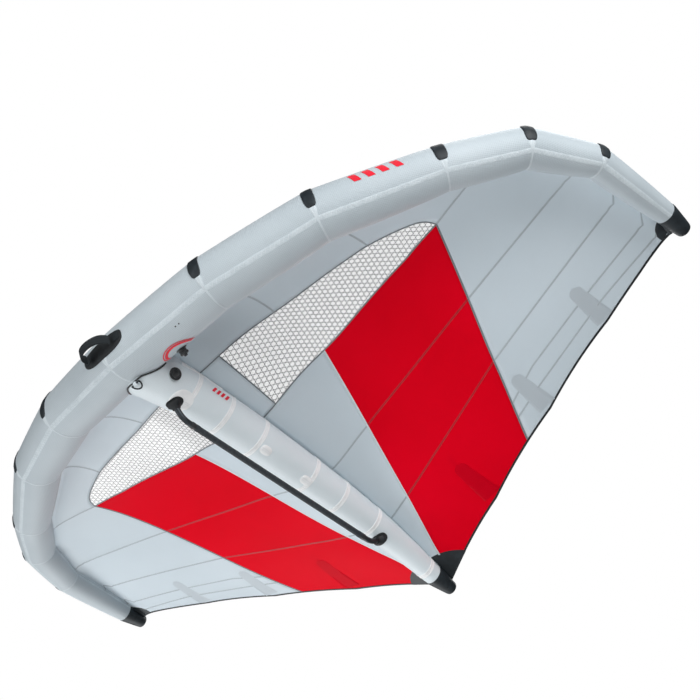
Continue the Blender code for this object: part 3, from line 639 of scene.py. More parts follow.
def superellipse(half_a, half_b, power, sides):
    outline = []
    for step in range(sides):
        angle = 2.0 * math.pi * step / sides
        a, b = math.cos(angle), math.sin(angle)
        outline.append((math.copysign(abs(a) ** (2.0 / power), a) * half_a,
                        math.copysign(abs(b) ** (2.0 / power), b) * half_b))
    return outline


def pad(surface, half_a, half_b, thick, power=4.0, edge=0.004, base=-0.0006, sides=64):
    """A closed patch with a rounded rim on a surface, given as a function of two distances and a lift."""
    edge = min(edge, half_a * 0.6, half_b * 0.6)
    rows = [(0.0, 0.0, 1.0), (0.0, 0.45, 1.0), (0.18, 0.75, 1.0), (0.5, 0.93, 1.0), (1.0, 1.0, 1.0)]
    rows += [(1.0, 1.0 + 0.06 * (1.0 - share), share) for share in (0.8, 0.6, 0.4, 0.2)]
    rings = []
    places = []
    for inset, height, share in rows:
        outline = superellipse(half_a - inset * edge, half_b - inset * edge, power, sides)
        lift = base + (thick - base) * height
        rings.append([surface(a * share, b * share, lift) for a, b in outline])
        places.append([(a * share, b * share) for a, b in outline + outline[:1]])
    return capped(rings, places)


def stitches(line, normal_at, length=0.0034, gap=0.0022, radius=0.00045):
    """A row of short raised threads along a line of points."""
    shapes = []
    walked = 0.0
    due = 0.0
    for index, (start, end) in enumerate(zip(line, line[1:])):
        span = (end - start).length
        direction = (end - start) / max(span, 1e-9)
        while due + length <= walked + span:
            foot = start + direction * (due - walked)
            high = normal_at(index)
            wide = direction.cross(high)
            rings = []
            for share, size in ((0.0, 0.3), (0.2, 1.0), (0.8, 1.0), (1.0, 0.3)):
                middle = foot + direction * length * share + high * radius * (size - 0.5)
                rings.append([middle + (wide * a + high * b) * size for a, b in round_section(radius, 6)])
            shapes.append(loft(rings))
            due += length + gap
        walked += span
        due = max(due, walked)
    return joined(shapes)


def spline(rows, at):
    """A smooth curve through rows of numbers, one for each whole value of at."""
    index = min(max(int(at), 0), len(rows) - 2)
    t = at - index
    before = rows[max(index - 1, 0)]
    after = rows[min(index + 2, len(rows) - 1)]
    here, there = rows[index], rows[index + 1]
    result = []
    for p, a, b, n in zip(before, here, there, after):
        result.append(a + 0.5 * t * (b - p + t * (2 * p - 5 * a + 4 * b - n + t * (3 * (a - b) + n - p))))
    return result


def smooth_step(value):
    value = min(max(value, 0.0), 1.0)
    return value * value * (3.0 - 2.0 * value)


# ---------------------------------------------------------------- leading edge

def seam_centre(index, side):
    x, y, z, _ = LE_ENDS[index]
    return Vector((x * side, y, z))


def seam_radius(index):
    return LE_ENDS[index][3]


def panel_direction(index, side):
    return (seam_centre(index + 1, side) - seam_centre(index, side)).normalized()


def panel_length(index):
    return (seam_centre(index + 1, 1) - seam_centre(index, 1)).length


def radius_at(panel, share):
    return seam_radius(panel) + (seam_radius(panel + 1) - seam_radius(panel)) * share


def seam_normal(index, side):
    if index == 0:
        return ACROSS * side
    if index > LAST_SEAM:
        return panel_direction(LAST_SEAM, side)
    return (panel_direction(index - 1, side) + panel_direction(index, side)).normalized()


def spoke_round(normal, side, degrees):
    """A unit vector across the normal: 0 is rear, 90 is up."""
    up = (UP - UP.dot(normal) * normal).normalized()
    rear = up.cross(normal) * side
    along_rear, along_up = cos_sin(degrees)
    return along_rear * rear + along_up * up


def seam_spoke(index, side, degrees):
    """From the centre of a seam to its mitred ring, for a tube of radius 1: 0 is rear, 90 is up."""
    normal = seam_normal(index, side)
    spoke = spoke_round(normal, side, degrees)
    direction = panel_direction(min(index, LAST_SEAM), side)
    lean = direction - direction.dot(normal) * normal
    if lean.length > 1e-5:
        lean.normalize()
        spoke += (1.0 / direction.dot(normal) - 1.0) * spoke.dot(lean) * lean
    return spoke


def swell(panel, degrees, share):
    """How far the inflated cloth stands off the cone between its seams: drawn in and puckered beside them."""
    length = panel_length(panel)
    reach = min(share, 1.0 - share) * length
    seam = panel if share < 0.5 else panel + 1
    near = math.exp(-max(reach, 0.0) / PUCKER_REACH)
    ripple = noise.noise(Vector((degrees * 0.16, seam * 7.3, reach * 9.0)))
    inner = 1.0 + 0.9 * max(math.cos(math.radians(degrees)), 0.0)
    full = math.sin(math.pi * min(max(share, 0.0), 1.0)) ** 0.7
    return SWELL * full - PINCH * near + PUCKER * inner * ripple * near * (1.0 - near * 0.3)


def tube_skin(panel, side, degrees, share, lift=0.0):
    """A point on the inflated tube, part of the way along a panel."""
    out = lift + swell(panel, degrees, share)
    near = seam_spoke(panel, side, degrees) * (seam_radius(panel) + out)
    far = seam_spoke(panel + 1, side, degrees) * (seam_radius(panel + 1) + out)
    return seam_centre(panel, side).lerp(seam_centre(panel + 1, side), share) + near.lerp(far, share)


def beside_seam(index, side, degrees, along, lift=0.0):
    """A point on the inflated tube at a distance along it from a seam; negative goes the other way."""
    if along >= 0.0:
        return tube_skin(index, side, degrees, along / panel_length(index), lift)
    if index == 0:
        return tube_skin(0, -side, degrees, -along / panel_length(0), lift)
    return tube_skin(index - 1, side, degrees, 1.0 + along / panel_length(index - 1), lift)


def at_seam(index, side, degrees):
    """A surface on the tube: a distance along it from the seam, a distance round it and a lift."""
    per_metre = math.degrees(1.0 / seam_radius(index))
    return lambda along, around, lift: beside_seam(index, side, degrees + per_metre * around, along, lift)


def on_panel(panel, side, share, degrees):
    per_metre = math.degrees(1.0 / radius_at(panel, share))
    length = panel_length(panel)
    return lambda along, around, lift: tube_skin(panel, side, degrees + per_metre * around,
                                                 share + along / length, lift)


def build_leading_edge():
    for word, side in SIDES:
        for panel in range(LAST_SEAM):
            grid = []
            places = []
            for along in shares(TUBE_ROWS):
                share = 0.5 - 0.5 * math.cos(math.pi * along)
                girth = 2.0 * math.pi * radius_at(panel, share)
                turns = shares(TUBE_SIDES)
                grid.append([tube_skin(panel, side, 360.0 * turn, share) for turn in turns[:-1]])
                places.append([(panel_length(panel) * share, girth * turn) for turn in turns])
            tube = add_piece(f"le_skin_{word}_{panel + 1}", skin(grid, places, wrap=True), "tube",
                             stands_for=(f"le_panel_{word}_{panel + 1}",))


def tape_on_panel(panel, side, degrees, half, lift, columns=6, rows=18):
    """A flat tape that runs the length of a panel."""
    per_metre = math.degrees(1.0 / seam_radius(panel))
    length = panel_length(panel)
    offsets = [half * (2.0 * share - 1.0) for share in shares(columns)]
    lifts = [TUCK] + [lift] * (columns - 1) + [TUCK]
    grid = [[tube_skin(panel, side, degrees + per_metre * across, share, height)
             for across, height in zip(offsets, lifts)] for share in shares(rows)]
    return skin(grid, [[(length * share, across) for across in offsets] for share in shares(rows)])


def ring_tape(index, side, lift):
    """The tape round a seam: wider where it comes out from under the wear pad."""
    profile = ((-1.0, TUCK), (-0.9, lift), (-0.3, lift * 1.3), (0.3, lift * 1.3), (0.9, lift), (1.0, TUCK))
    turns = shares(TUBE_SIDES)
    grid = []
    for turn in turns[:-1]:
        below = (360.0 * turn - RING_WIDEST + 180.0) % 360.0 - 180.0
        half = RING_HALF + 2.0 * RING_HALF * math.exp(-((below / 13.0) ** 2))
        grid.append([beside_seam(index, side, 360.0 * turn, half * share, height)
                     for share, height in profile])
    grid.append(grid[0])
    girth = 2.0 * math.pi * seam_radius(index)
    return skin(grid, [[(girth * turn, 0.009 * share) for share, _ in profile] for turn in turns])


def build_tapes():
    panels = range(LAST_SEAM)
    for word, side in SIDES:
        nose = [tape_on_panel(panel, side, TAPE_ANGLE, TAPE_HALF, 0.0007) for panel in panels]
        add_piece(f"nose_tape_{word}", joined(nose), "zigzag")
        seats = [tape_on_panel(panel, side, CANOPY_SEAT - 3.0, SEAT_TAPE_HALF, 0.0010) for panel in panels]
        add_piece(f"seat_tape_{word}", joined(seats), "zigzag")
        rings = [ring_tape(index, side, 0.0007) for index in panels[1:]]
        add_piece(f"ring_tapes_{word}", joined(rings), "ring")
    add_piece("ring_tape_centre", ring_tape(0, 1, 0.0007), "ring")


def build_wear_pads():
    for word, side in SIDES:
        rows = []
        for index in range(1, LAST_SEAM):
            half = math.radians(PAD_HALF) * seam_radius(index)
            place = at_seam(index, side, PAD_MIDDLE)
            add_piece(f"wear_patch_{word}_{index}", pad(place, PAD_WIDTH / 2, half, PAD_THICK, 3.6, 0.005),
                      "patch", stands_for=(f"wear_pad_{word}_{index}",))
            outline = superellipse(PAD_WIDTH / 2 - 0.0045, half - 0.0045, 3.6, 90)
            line = [place(a, b, PAD_THICK) for a, b in outline + outline[:1]]
            middle = seam_centre(index, side)
            rows.append(stitches(line, lambda at: (line[at] - middle).normalized()))
        add_piece(f"wear_patch_thread_{word}", joined(rows), "webbing")


def build_tip_cups():
    for word, side in SIDES:
        direction = panel_direction(LAST_SEAM, side)
        length = panel_length(LAST_SEAM)
        radius = seam_radius(LAST_SEAM)
        tip = seam_radius(LAST_SEAM + 1)
        spokes = [seam_spoke(LAST_SEAM, side, 360.0 * turn) for turn in shares(64)[:-1]]
        rings = []
        for share, size in ((-0.13, radius * 1.02), (-0.13, radius * 1.045), (-0.10, radius * 1.055),
                            (0.0, radius * 1.03), (0.35, radius + (tip - radius) * 0.30),
                            (0.70, radius + (tip - radius) * 0.68), (0.88, tip * 1.03), (0.95, tip * 0.96),
                            (0.985, tip * 0.82), (1.0, tip * 0.60), (1.004, tip * 0.30)):
            base = LAST_SEAM if share >= 0.0 else LAST_SEAM - 1
            middle = seam_centre(LAST_SEAM, side) + panel_direction(base, side) * length * share
            flat = [spoke - spoke.dot(direction) * direction * smooth_step(share * 3.0) for spoke in spokes]
            rings.append([middle + spoke * size for spoke in flat])
        add_piece(f"tip_cup_{word}", loft(rings), "patch", stands_for=(f"tip_cap_{word}",))


# ---------------------------------------------------------------- strut

def strut_row(y):
    """Height of the strut's axis and its radius, smooth between the stations."""
    for index, (low, high) in enumerate(zip(STRUT_STATIONS, STRUT_STATIONS[1:])):
        if y <= high[0]:
            break
    return spline(STRUT_STATIONS, index + (y - low[0]) / (high[0] - low[0]))[1:]


def strut_draw(y):
    """The sleeve is drawn in slightly at each band."""
    return sum(-0.0007 * math.exp(-(((y - band) / 0.011) ** 2)) for band in STRUT_BANDS)


def strut_point(y, degrees, lift=0.0):
    """A point on the strut's skin and its outward direction: 0 is the wing's right, 90 is up."""
    height, radius = strut_row(y)
    across, rise = cos_sin(degrees)
    out = Vector((across, 0.0, rise))
    return Vector((0.0, y, height)) + out * (radius + strut_draw(y) + lift), out


def on_strut(y, degrees):
    per_metre = math.degrees(1.0 / strut_row(y)[1])
    return lambda along, around, lift: strut_point(y + along, degrees + per_metre * around, lift)[0]


def outside_tube(point):
    side = 1 if point.x >= 0.0 else -1
    start = seam_centre(0, side)
    along = panel_direction(0, side)
    return (point - start - (point - start).dot(along) * along).length - seam_radius(0)


def strut_mouth(degrees):
    """Where a line along the strut's skin comes out of the leading edge."""
    low = 0.0
    high = STRUT_SETTLE
    for _ in range(24):
        middle = (low + high) / 2
        if outside_tube(strut_point(middle, degrees)[0]) > 0.0006:
            high = middle
        else:
            low = middle
    return high


def build_strut():
    turns = shares(STRUT_SIDES)
    mouths = [strut_mouth(360.0 * turn) for turn in turns[:-1]]
    mouths.append(mouths[0])
    rows = [[mouth + (STRUT_SETTLE - mouth) * share for mouth in mouths] for share in shares(10)]
    rows += [[STRUT_SETTLE + (STRUT_END - STRUT_SETTLE) * share] * len(turns) for share in shares(110)[1:]]
    grid = [[strut_point(y - 0.003 if row is rows[0] else y, 360.0 * turn)[0]
             for y, turn in zip(row[:-1], turns)] for row in rows]
    places = [[(y, 2.0 * math.pi * strut_row(y)[1] * turn) for y, turn in zip(row, turns)] for row in rows]
    sleeve = add_piece("strut_skin", skin(grid, places, wrap=True), "strut", stands_for=("strut_sleeve",))
    bands = []
    for y in STRUT_BANDS:
        bands += [band_ring(y + shift, 0.0032, 0.0018) for shift in (-0.0075, 0.0075)]
        bands.append(band_ring(y, 0.0070, 0.0006))
    add_piece("strut_bands", joined(bands), "bright")
    bumps = [pad(on_strut(y, degrees), 0.026, 0.0195, 0.0050, 2.6, 0.012) for y, degrees in STRUT_BUMPS]
    add_piece("strut_tabs", joined(bumps), "bright")
    add_piece("boot_reinforcement", pad(on_strut(0.264, -74.0), 0.045, 0.047, 0.0022, 2.3, 0.004), "bright")
    piping = []
    for step in range(61):
        degrees = -18.0 - 150.0 * step / 60
        wave = abs(0.004 * math.sin(step * 0.16))
        piping.append(strut_point(strut_mouth(degrees) + 0.003 + wave, degrees, 0.0016)[0])
    add_piece("junction_piping", along_path(piping, round_section(0.0032, 12), BACK), "plastic")


def band_ring(y, half, lift, sides=72):
    """A raised ring round the strut's underside and sides, up to the canopy's seams."""
    profile = ((-1.0, TUCK), (-0.6, lift), (0.0, lift * 1.15), (0.6, lift), (1.0, TUCK))
    turns = [-220.0 + 260.0 * share for share in shares(sides)]
    grid = [[strut_point(y + half * share, turn, height)[0] for share, height in profile] for turn in turns]
    return skin(grid, [[(turn * 0.0015, half * share) for share, _ in profile] for turn in turns])


def build_strut_cup():
    _, height, radius = STRUT_STATIONS[-1]
    end, end_height, end_radius = STRUT_CAP_END
    rings = []
    for share, size in ((-0.14, 1.00), (-0.14, 1.035), (-0.11, 1.045), (0.0, 1.02), (0.3, 0.96), (0.7, 0.86),
                        (0.9, 0.80), (0.955, 0.74), (0.985, 0.64), (1.0, 0.50), (1.004, 0.25)):
        y = STRUT_END + (end - STRUT_END) * share
        if share < 0.0:
            middle, reach = strut_row(y)
        else:
            middle = height + (end_height - height) * share
            reach = radius + (end_radius / 0.80 - radius) * min(share / 0.9, 1.0)
        rings.append(circle(Vector((0.0, y, middle)), BACK, reach * size, 64))
    add_piece("strut_cup", loft(rings), "patch", stands_for=("strut_end_cap",))


# ---------------------------------------------------------------- canopy

SEAT_POINTS = [seam_centre(index, 1) + (seam_radius(index) + SEAT_LIFT) * seam_spoke(index, 1, CANOPY_SEAT)
               for index in range(LAST_SEAM + 1)]
REAR_POINTS = [Vector(row) for row in TRAILING_EDGE]


def station(points, s, softness):
    """A point along an edge: straight between the seams, or a smooth curve as softness goes to 1."""
    s = min(max(s, 0.0), float(LAST_SEAM))
    index = min(int(s), LAST_SEAM - 1)
    straight = points[index].lerp(points[index + 1], s - index)
    if softness <= 0.0:
        return straight
    first = points[1]
    rows = [Vector((-first.x, first.y, first.z))] + points
    return straight.lerp(Vector(spline(rows, s + 1.0)), softness)


def strut_edge(y):
    """Where the canopy leaves the strut's right side."""
    return strut_point(min(y, STRUT_END), edge_angle(y), STRIP_LIFT)[0]


def edge_angle(y):
    """The canopy leaves the strut lower down near the leading edge."""
    ahead = min(max((SPREAD_START - y) / SPREAD_LENGTH, 0.0), 1.0)
    return 90.0 - STRUT_SPREAD - (STRUT_SPREAD_FRONT - STRUT_SPREAD) * ahead


def scallop(s, c):
    """The hem curves in between its corners."""
    for low, high in zip(SCALLOP_ENDS, SCALLOP_ENDS[1:]):
        if s <= high:
            break
    share = (s - low) / (high - low)
    return SCALLOP * 4.0 * share * (1.0 - share) * c ** 6


def free_canopy(s, c):
    """The right half of the canopy as the wind fills it: s is the station, c the share of the chord."""
    softness = smooth_step(c / 0.22) * smooth_step((1.0 - c) / 0.20)
    point = station(SEAT_POINTS, s, softness).lerp(station(REAR_POINTS, s, softness), c)
    peak = CAMBER_FRONT / (CAMBER_FRONT + CAMBER_REAR)
    shape = (max(c, 0.0) / peak) ** CAMBER_FRONT * (max(1.0 - c, 0.0) / (1.0 - peak)) ** CAMBER_REAR
    fade = 1.0 - min(max(point.x, 0.0) / LE_ENDS[LAST_SEAM][0], 1.0) ** CAMBER_FADE
    point.z += CANOPY_CAMBER * fade * shape
    point.y -= scallop(s, c)
    return point


def canopy_point(s, c):
    """The canopy drawn down beside the strut to the line where it is sewn on."""
    point = free_canopy(s, c)
    edge = strut_edge(point.y)
    if point.x - edge.x < 3.0 * STRUT_PULL:
        root = free_canopy(max(edge.x, 0.0) / LE_ENDS[1][0], c)
        reach = max(point.x - edge.x, 0.0) / STRUT_PULL
        point.z += (edge.z - root.z) * math.exp(-reach * reach) * (1.0 - math.exp(-c / PULL_START))
    return point


def canopy_normal(s, c):
    step = 0.006
    s0, s1 = max(s - step, 0.0), min(s + step, float(LAST_SEAM))
    c0, c1 = max(c - step, 0.0), min(c + step, 1.0)
    across = canopy_point(s1, c) - canopy_point(s0, c)
    back = canopy_point(s, c1) - canopy_point(s, c0)
    return across.cross(back).normalized()


def on_side(point, side):
    return Vector((point.x * side, point.y, point.z))


def curve_at(corners, share):
    return spline(corners, min(max(share, 0.0), 1.0) * (len(corners) - 1))


def between_curves(front, rear, rows, columns, start=0.0, end=1.0):
    """Places between two seams that run out along the span; start and end are shares of both."""
    ends = [(curve_at(front, start + (end - start) * share), curve_at(rear, start + (end - start) * share))
            for share in shares(columns)]
    return [[[p + (q - p) * share for p, q in zip(a, b)] for a, b in ends] for share in shares(rows)]


def along_seam(seam, s):
    """The chord share of a seam at a station."""
    low, high = 0.0, 1.0
    for _ in range(24):
        middle = (low + high) / 2
        if curve_at(seam, middle)[0] < s:
            low = middle
        else:
            high = middle
    return curve_at(seam, low)[1]


def bowed(places, seam):
    """Places whose front edge follows a seam, not the straight line between its ends."""
    for line in places:
        bow = along_seam(seam, line[0][0]) - line[0][1]
        line[:] = [(s, c + bow * (1.0 - share) ** 2) for (s, c), share in zip(line, shares(len(line) - 1))]
    return places


def cloth_panel(name, places, side, finish, stands_for):
    """A sheet of sailcloth over a grid of canopy places."""
    grid = [[on_side(canopy_point(s, c), side) for s, c in row] for row in places]
    points, faces, corners = skin(grid, [[(point.x, point.y) for point in row] for row in grid])
    piece = add_piece(name, (points, faces, corners), finish, stands_for=stands_for, thickness=CLOTH)
    return piece


def build_canopy():
    for word, side in SIDES:
        cloth_panel(f"front_cloth_{word}", between_curves(FRONT_LINE, FRONT_SEAM, 10, 90), side, "canopy",
                    (f"front_strip_{word}",))
        cloth_panel(f"window_film_{word}", between_curves(FRONT_SEAM, MIDDLE_SEAM, 18, 80, WINDOW_START),
                    side, "window", (f"window_{word}",))
        border = between_curves(FRONT_SEAM, MIDDLE_SEAM, 18, 8, 0.0, WINDOW_START)
        cloth_panel(f"window_border_{word}", border, side, "canopy", ())
        cloth_panel(f"centre_cloth_{word}", between_curves(STRUT_LINE, RED_INNER, 16, 80), side, "canopy",
                    (f"centre_panel_{word}",))
        red = bowed(between_curves(RED_INNER, RED_OUTER, 48, 80), MIDDLE_SEAM)
        cloth_panel(f"red_cloth_{word}", red, side, "red", (f"red_panel_{word}",))
        cloth_panel(f"outer_cloth_{word}", between_curves(RED_OUTER, TIP_LINE, 48, 80), side, "canopy",
                    (f"outer_panel_{word}",))


def ribbon(places, side, half, thick):
    """A folded seam that shows on both faces of the canopy, through places joined by straight lines."""
    fine = []
    for (s0, c0), (s1, c1) in zip(places, places[1:]):
        steps = max(int((canopy_point(s1, c1) - canopy_point(s0, c0)).length / 0.02), 2)
        fine += [(s0 + (s1 - s0) * share, c0 + (c1 - c0) * share) for share in shares(steps)[:-1]]
    fine.append(places[-1])
    middle = [canopy_point(s, c) for s, c in fine]
    section = ((-1.0, 0.0), (-0.92, 1.0), (0.0, 1.0), (0.92, 1.0), (1.0, 0.0), (0.92, -1.0), (0.0, -1.0),
               (-0.92, -1.0))
    outline = [(half * a, thick * b) for a, b in section]
    rows = []
    walked = 0.0
    for index, (s, c) in enumerate(fine):
        normal = canopy_normal(s, c)
        walked += (middle[index] - middle[max(index - 1, 0)]).length
        rows.append((middle[index], direction_at(middle, index).cross(normal), normal, walked, outline))
    return swept(rows, side)


def curve_places(corners, steps=40):
    return [curve_at(corners, share) for share in shares(steps)]


def straight_places(corners):
    """Canopy places along lines that are straight when seen from above."""
    places = []
    for first, second in zip(corners, corners[1:]):
        start, end = canopy_point(*first), canopy_point(*second)
        for share in shares(max(int((end - start).length / 0.04), 2))[:-1]:
            point = start.lerp(end, share)
            guess = [a + (b - a) * share for a, b in zip(first, second)]
            places.append(place_near(point.x, point.y, guess))
    places.append(corners[-1])
    return places


def build_seams():
    for word, side in SIDES:
        for finish, lines in CROSS_SEAMS.items():
            ribbons = [ribbon(straight_places(corners), side, 0.0046, 0.0011) for corners in lines]
            add_piece(f"{finish}s_{word}", joined(ribbons), finish)
        inner_edge = [curve_at(FRONT_SEAM, WINDOW_START), curve_at(MIDDLE_SEAM, WINDOW_START)]
        window = [ribbon(places, side, 0.0028, 0.0012)
                  for places in (curve_places(FRONT_SEAM), curve_places(MIDDLE_SEAM), inner_edge)]
        add_piece(f"window_edge_{word}", joined(window), "edge_seam")
        for name, seam, half, finish in (("inner", RED_INNER, 0.0040, "white_seam"),
                                         ("outer", RED_OUTER, 0.0035, "edge_seam")):
            add_piece(f"red_{name}_seam_{word}", ribbon(curve_places(seam), side, half, 0.0012), finish)


def hem_band(side):
    """The binding that folds over the trailing edge."""
    outline = [(-0.0100, 0.0010), (-0.0095, 0.0016), (0.0, 0.0018), (0.0016, 0.0), (0.0, -0.0018),
               (-0.0095, -0.0016), (-0.0100, -0.0010)]
    rows = []
    walked = 0.0
    for share in shares(240):
        s = HEM_START + (HEM_END - HEM_START) * share
        edge = canopy_point(s, 0.998)
        back = (edge - canopy_point(s, 0.97)).normalized()
        walked += (edge - rows[-1][0]).length if rows else 0.0
        rows.append((edge, back, canopy_normal(s, 0.985), walked, outline))
    return swept(rows, side, 0.005)


def pocket(s, front, side):
    """A batten pocket: a wedge with a round front end, and two raised seams that spread over its batten."""
    length = (canopy_point(s, POCKET_END) - canopy_point(s, front)).length
    rows = []
    for share in shares(30):
        c = front + (POCKET_END - front) * share
        normal = canopy_normal(s, c)
        round_in = math.sqrt(max(0.0, 1.0 - (1.0 - min(share * length / 0.028, 1.0)) ** 2))
        half = (0.0275 + 0.0165 * share) * max(round_in, 0.05)
        outline = []
        for a in (-1.0, -0.97, -0.62, -0.50, -0.38, -0.20, 0.0, 0.20, 0.38, 0.50, 0.62, 0.97, 1.0):
            seam = 0.0014 * math.exp(-(((abs(a) - 0.50) / 0.07) ** 2))
            crown = 0.0 if abs(a) == 1.0 else 0.0011 + seam + 0.0026 * math.exp(-((a / 0.26) ** 2))
            outline.append((a * half, crown))
        outline += [(a * half, -0.0013) for a in (0.96, 0.6, 0.0, -0.6, -0.96)]
        rows.append((canopy_point(s, c), BACK.cross(normal).normalized(), normal, share * length, outline))
    return swept(rows, side)


def place_near(x, y, guess=None):
    """The station and chord share of a canopy point, from its x and y."""
    s, c = guess or (x / 0.43, (y - 0.12) / 1.6)
    step = 0.01
    for _ in range(8):
        s = min(max(s, 0.0), LAST_SEAM - step)
        c = min(max(c, 0.02), 1.0 - step)
        here = canopy_point(s, c)
        by_s = (canopy_point(s + step, c) - here) / step
        by_c = (canopy_point(s, c + step) - here) / step
        dx, dy = x - here.x, y - here.y
        spread = by_s.x * by_c.y - by_s.y * by_c.x
        s += (dx * by_c.y - dy * by_c.x) / spread
        c += (dy * by_s.x - dx * by_s.y) / spread
    return min(max(s, 0.0), float(LAST_SEAM)), min(max(c, 0.0), 0.999)


def corner_patch(x, y, radius, low, high, side, thick):
    """A reinforcing patch on both faces of the canopy: a slice of a disc round a corner."""
    grids = ([], [])
    for j in range(13):
        reach = radius * j / 12
        thin = thick * (0.2 if j == 12 else 1.0)
        for grid, face in zip(grids, (-1.0, 1.0)):
            line = []
            for share in shares(24):
                across, back = cos_sin(low + (high - low) * share)
                s, c = place_near(x + reach * across, y + reach * back)
                line.append(on_side(canopy_point(s, c) + canopy_normal(s, c) * thin * face, side))
            grid.append(line)
    marks = [[(j * 0.01, i * 0.01) for i in range(25)] for j in range(13)]
    return joined([skin(grid, marks) for grid in grids])


def tip_web(side):
    """The black cloth that ties the canopy's end to the tip cup."""
    rows = []
    for step in shares(16):
        inner = canopy_point(5.97, 0.04 + 0.95 * step)
        share = min(max((inner.y - LE_ENDS[LAST_SEAM][1]) / panel_length(LAST_SEAM), -0.05), 1.0)
        outer = seam_centre(LAST_SEAM, 1).lerp(seam_centre(LAST_SEAM + 1, 1), share)
        rows.append([on_side(inner.lerp(outer, column), side) for column in shares(6)])
    return skin(rows, [[(point.y, point.x) for point in row] for row in rows])


def build_canopy_trim():
    for word, side in SIDES:
        add_piece(f"hem_binding_{word}", hem_band(side), "hem", stands_for=(f"trailing_hem_{word}",))
        for number, (s, front, finish) in enumerate(POCKETS, 1):
            add_piece(f"batten_pocket_{word}_{number}", pocket(s, front, side), finish)
        add_piece(f"rear_corner_{word}", corner_patch(*REAR_CORNER, side, CORNER_LIFT), "patch")
        add_piece(f"tip_web_{word}", tip_web(side), "patch", thickness=0.0036)
        add_piece(f"tip_corner_{word}", corner_patch(*TIP_CORNER, side, CORNER_LIFT), "patch")


def build_spine():
    """The strip of canopy over the top of the strut, the doubled cloth on the strut's flanks, and the dark
    strip of painted shadow behind it.
    """
    grid = []
    for share in shares(90):
        line = []
        for turn in shares(24):
            lean = (STRUT_SPREAD + 4.0) * (1.0 - 2.0 * turn)
            start = strut_mouth(90.0 - lean) + 0.002
            y = start + (STRUT_END - 0.004 - start) * share
            line.append(strut_point(y, 90.0 - lean, STRIP_LIFT + CLOTH)[0])
        grid.append(line)
    points, faces, corners = skin(grid, [[(point.x, point.y) for point in row] for row in grid])
    piece = add_piece("spine_cloth", (points, faces, corners), "canopy", stands_for=("spine_strip",),
                      thickness=CLOTH)
    for word, side in SIDES:
        for name, finish, low, high, wide, narrow in FLAPS:
            flap = [[on_side(point, side) for point in row] for row in flap_rows(low, high, wide, narrow)]
            marks = [[(point.y, point.z) for point in row] for row in flap]
            add_piece(f"{name}_{word}", skin(flap, marks), finish)


def flap_rows(low, high, wide, narrow, rows=30):
    """A strip on the strut's flank, just under the edge of the canopy: doubled cloth, or dark cloth that
    paints the shadow of the crease.
    """
    profile = ((0.0, TUCK), (0.06, 0.0016), (0.5, 0.0020), (0.94, 0.0016), (1.0, TUCK))
    grid = []
    for share in shares(rows):
        y = low + (high - low) * share
        turn = math.degrees((wide + (narrow - wide) * share) / strut_row(y)[1])
        grid.append([strut_point(y, edge_angle(y) - turn * across, lift)[0] for across, lift in profile])
    return grid


# ---------------------------------------------------------------- boom

def boot_line(y, bend):
    foot = strut_point(y, -90.0)[0]
    direction = (bend - foot).normalized()
    return foot, direction, foot + direction * BOOT_HEIGHT


def rounded(before, corner, after):
    """Points round a bend of the boom, from a curve that touches both straight runs."""
    start = corner + (before - corner).normalized() * BOOM_ELBOW
    end = corner + (after - corner).normalized() * BOOM_ELBOW
    return [start.lerp(corner, share).lerp(corner.lerp(end, share), share) for share in shares(12)]


def build_boom():
    ends = []
    for (word, y), bend in zip(BOOT_YS, (BOOM_FRONT_BEND, BOOM_REAR_BEND)):
        foot, direction, face = boot_line(y, bend)
        flange = pad(on_strut(y, -88.0), 0.027, 0.037, 0.0050, 2.3, 0.006)
        rings = []
        high = (BACK - BACK.dot(direction) * direction).normalized()
        side = direction.cross(high)
        for along, wide, long in BOOT_PROFILE:
            rings.append([foot + direction * along + side * a + high * b
                          for a, b in superellipse(wide, long, 2.2, 48)])
        add_piece(f"boot_{word}", joined([flange, loft(rings)]), "boot", stands_for=(f"boom_boot_{word}",))
        ends.append(face - direction * 0.006)
    points = [ends[0]] + rounded(ends[0], BOOM_FRONT_BEND, BOOM_REAR_BEND)
    points += rounded(BOOM_FRONT_BEND, BOOM_REAR_BEND, ends[1]) + [ends[1]]
    add_piece("boom_pipe", along_path(points, round_section(BOOM_RADIUS, 32), ACROSS), "alloy",
              stands_for=("boom_tube",))
    along = (BOOM_REAR_BEND - BOOM_FRONT_BEND).normalized()
    start = BOOM_FRONT_BEND + along * GRIP_INSET
    length = (BOOM_REAR_BEND - BOOM_FRONT_BEND).length - 2.0 * GRIP_INSET
    profile = [(0.0, 0.0116), (0.0, 0.0122), (0.002, 0.0129), (0.006, 0.0132), (0.018, 0.0132),
               (0.019, 0.0121), (0.021, 0.0121), (0.022, GRIP_RADIUS)]
    profile += [(0.022 + (length - 0.044) * share, GRIP_RADIUS) for share in shares(60)[1:-1]]
    profile += [(length - row, radius) for row, radius in reversed(profile[:8])]
    grip = add_piece("boom_foam", turned(start, along, profile, 40), "foam", stands_for=("boom_grip",))
    collars = [turned(point, along, ((-0.009, 0.0117), (-0.009, 0.0126), (-0.006, 0.0132), (0.006, 0.0132),
                                     (0.009, 0.0126), (0.009, 0.0117)), 40)
               for point in (start - along * 0.010, start + along * (length + 0.010))]
    add_piece("boom_collars", joined(collars), "plastic")


# ---------------------------------------------------------------- handle, leash loop, valves, marks

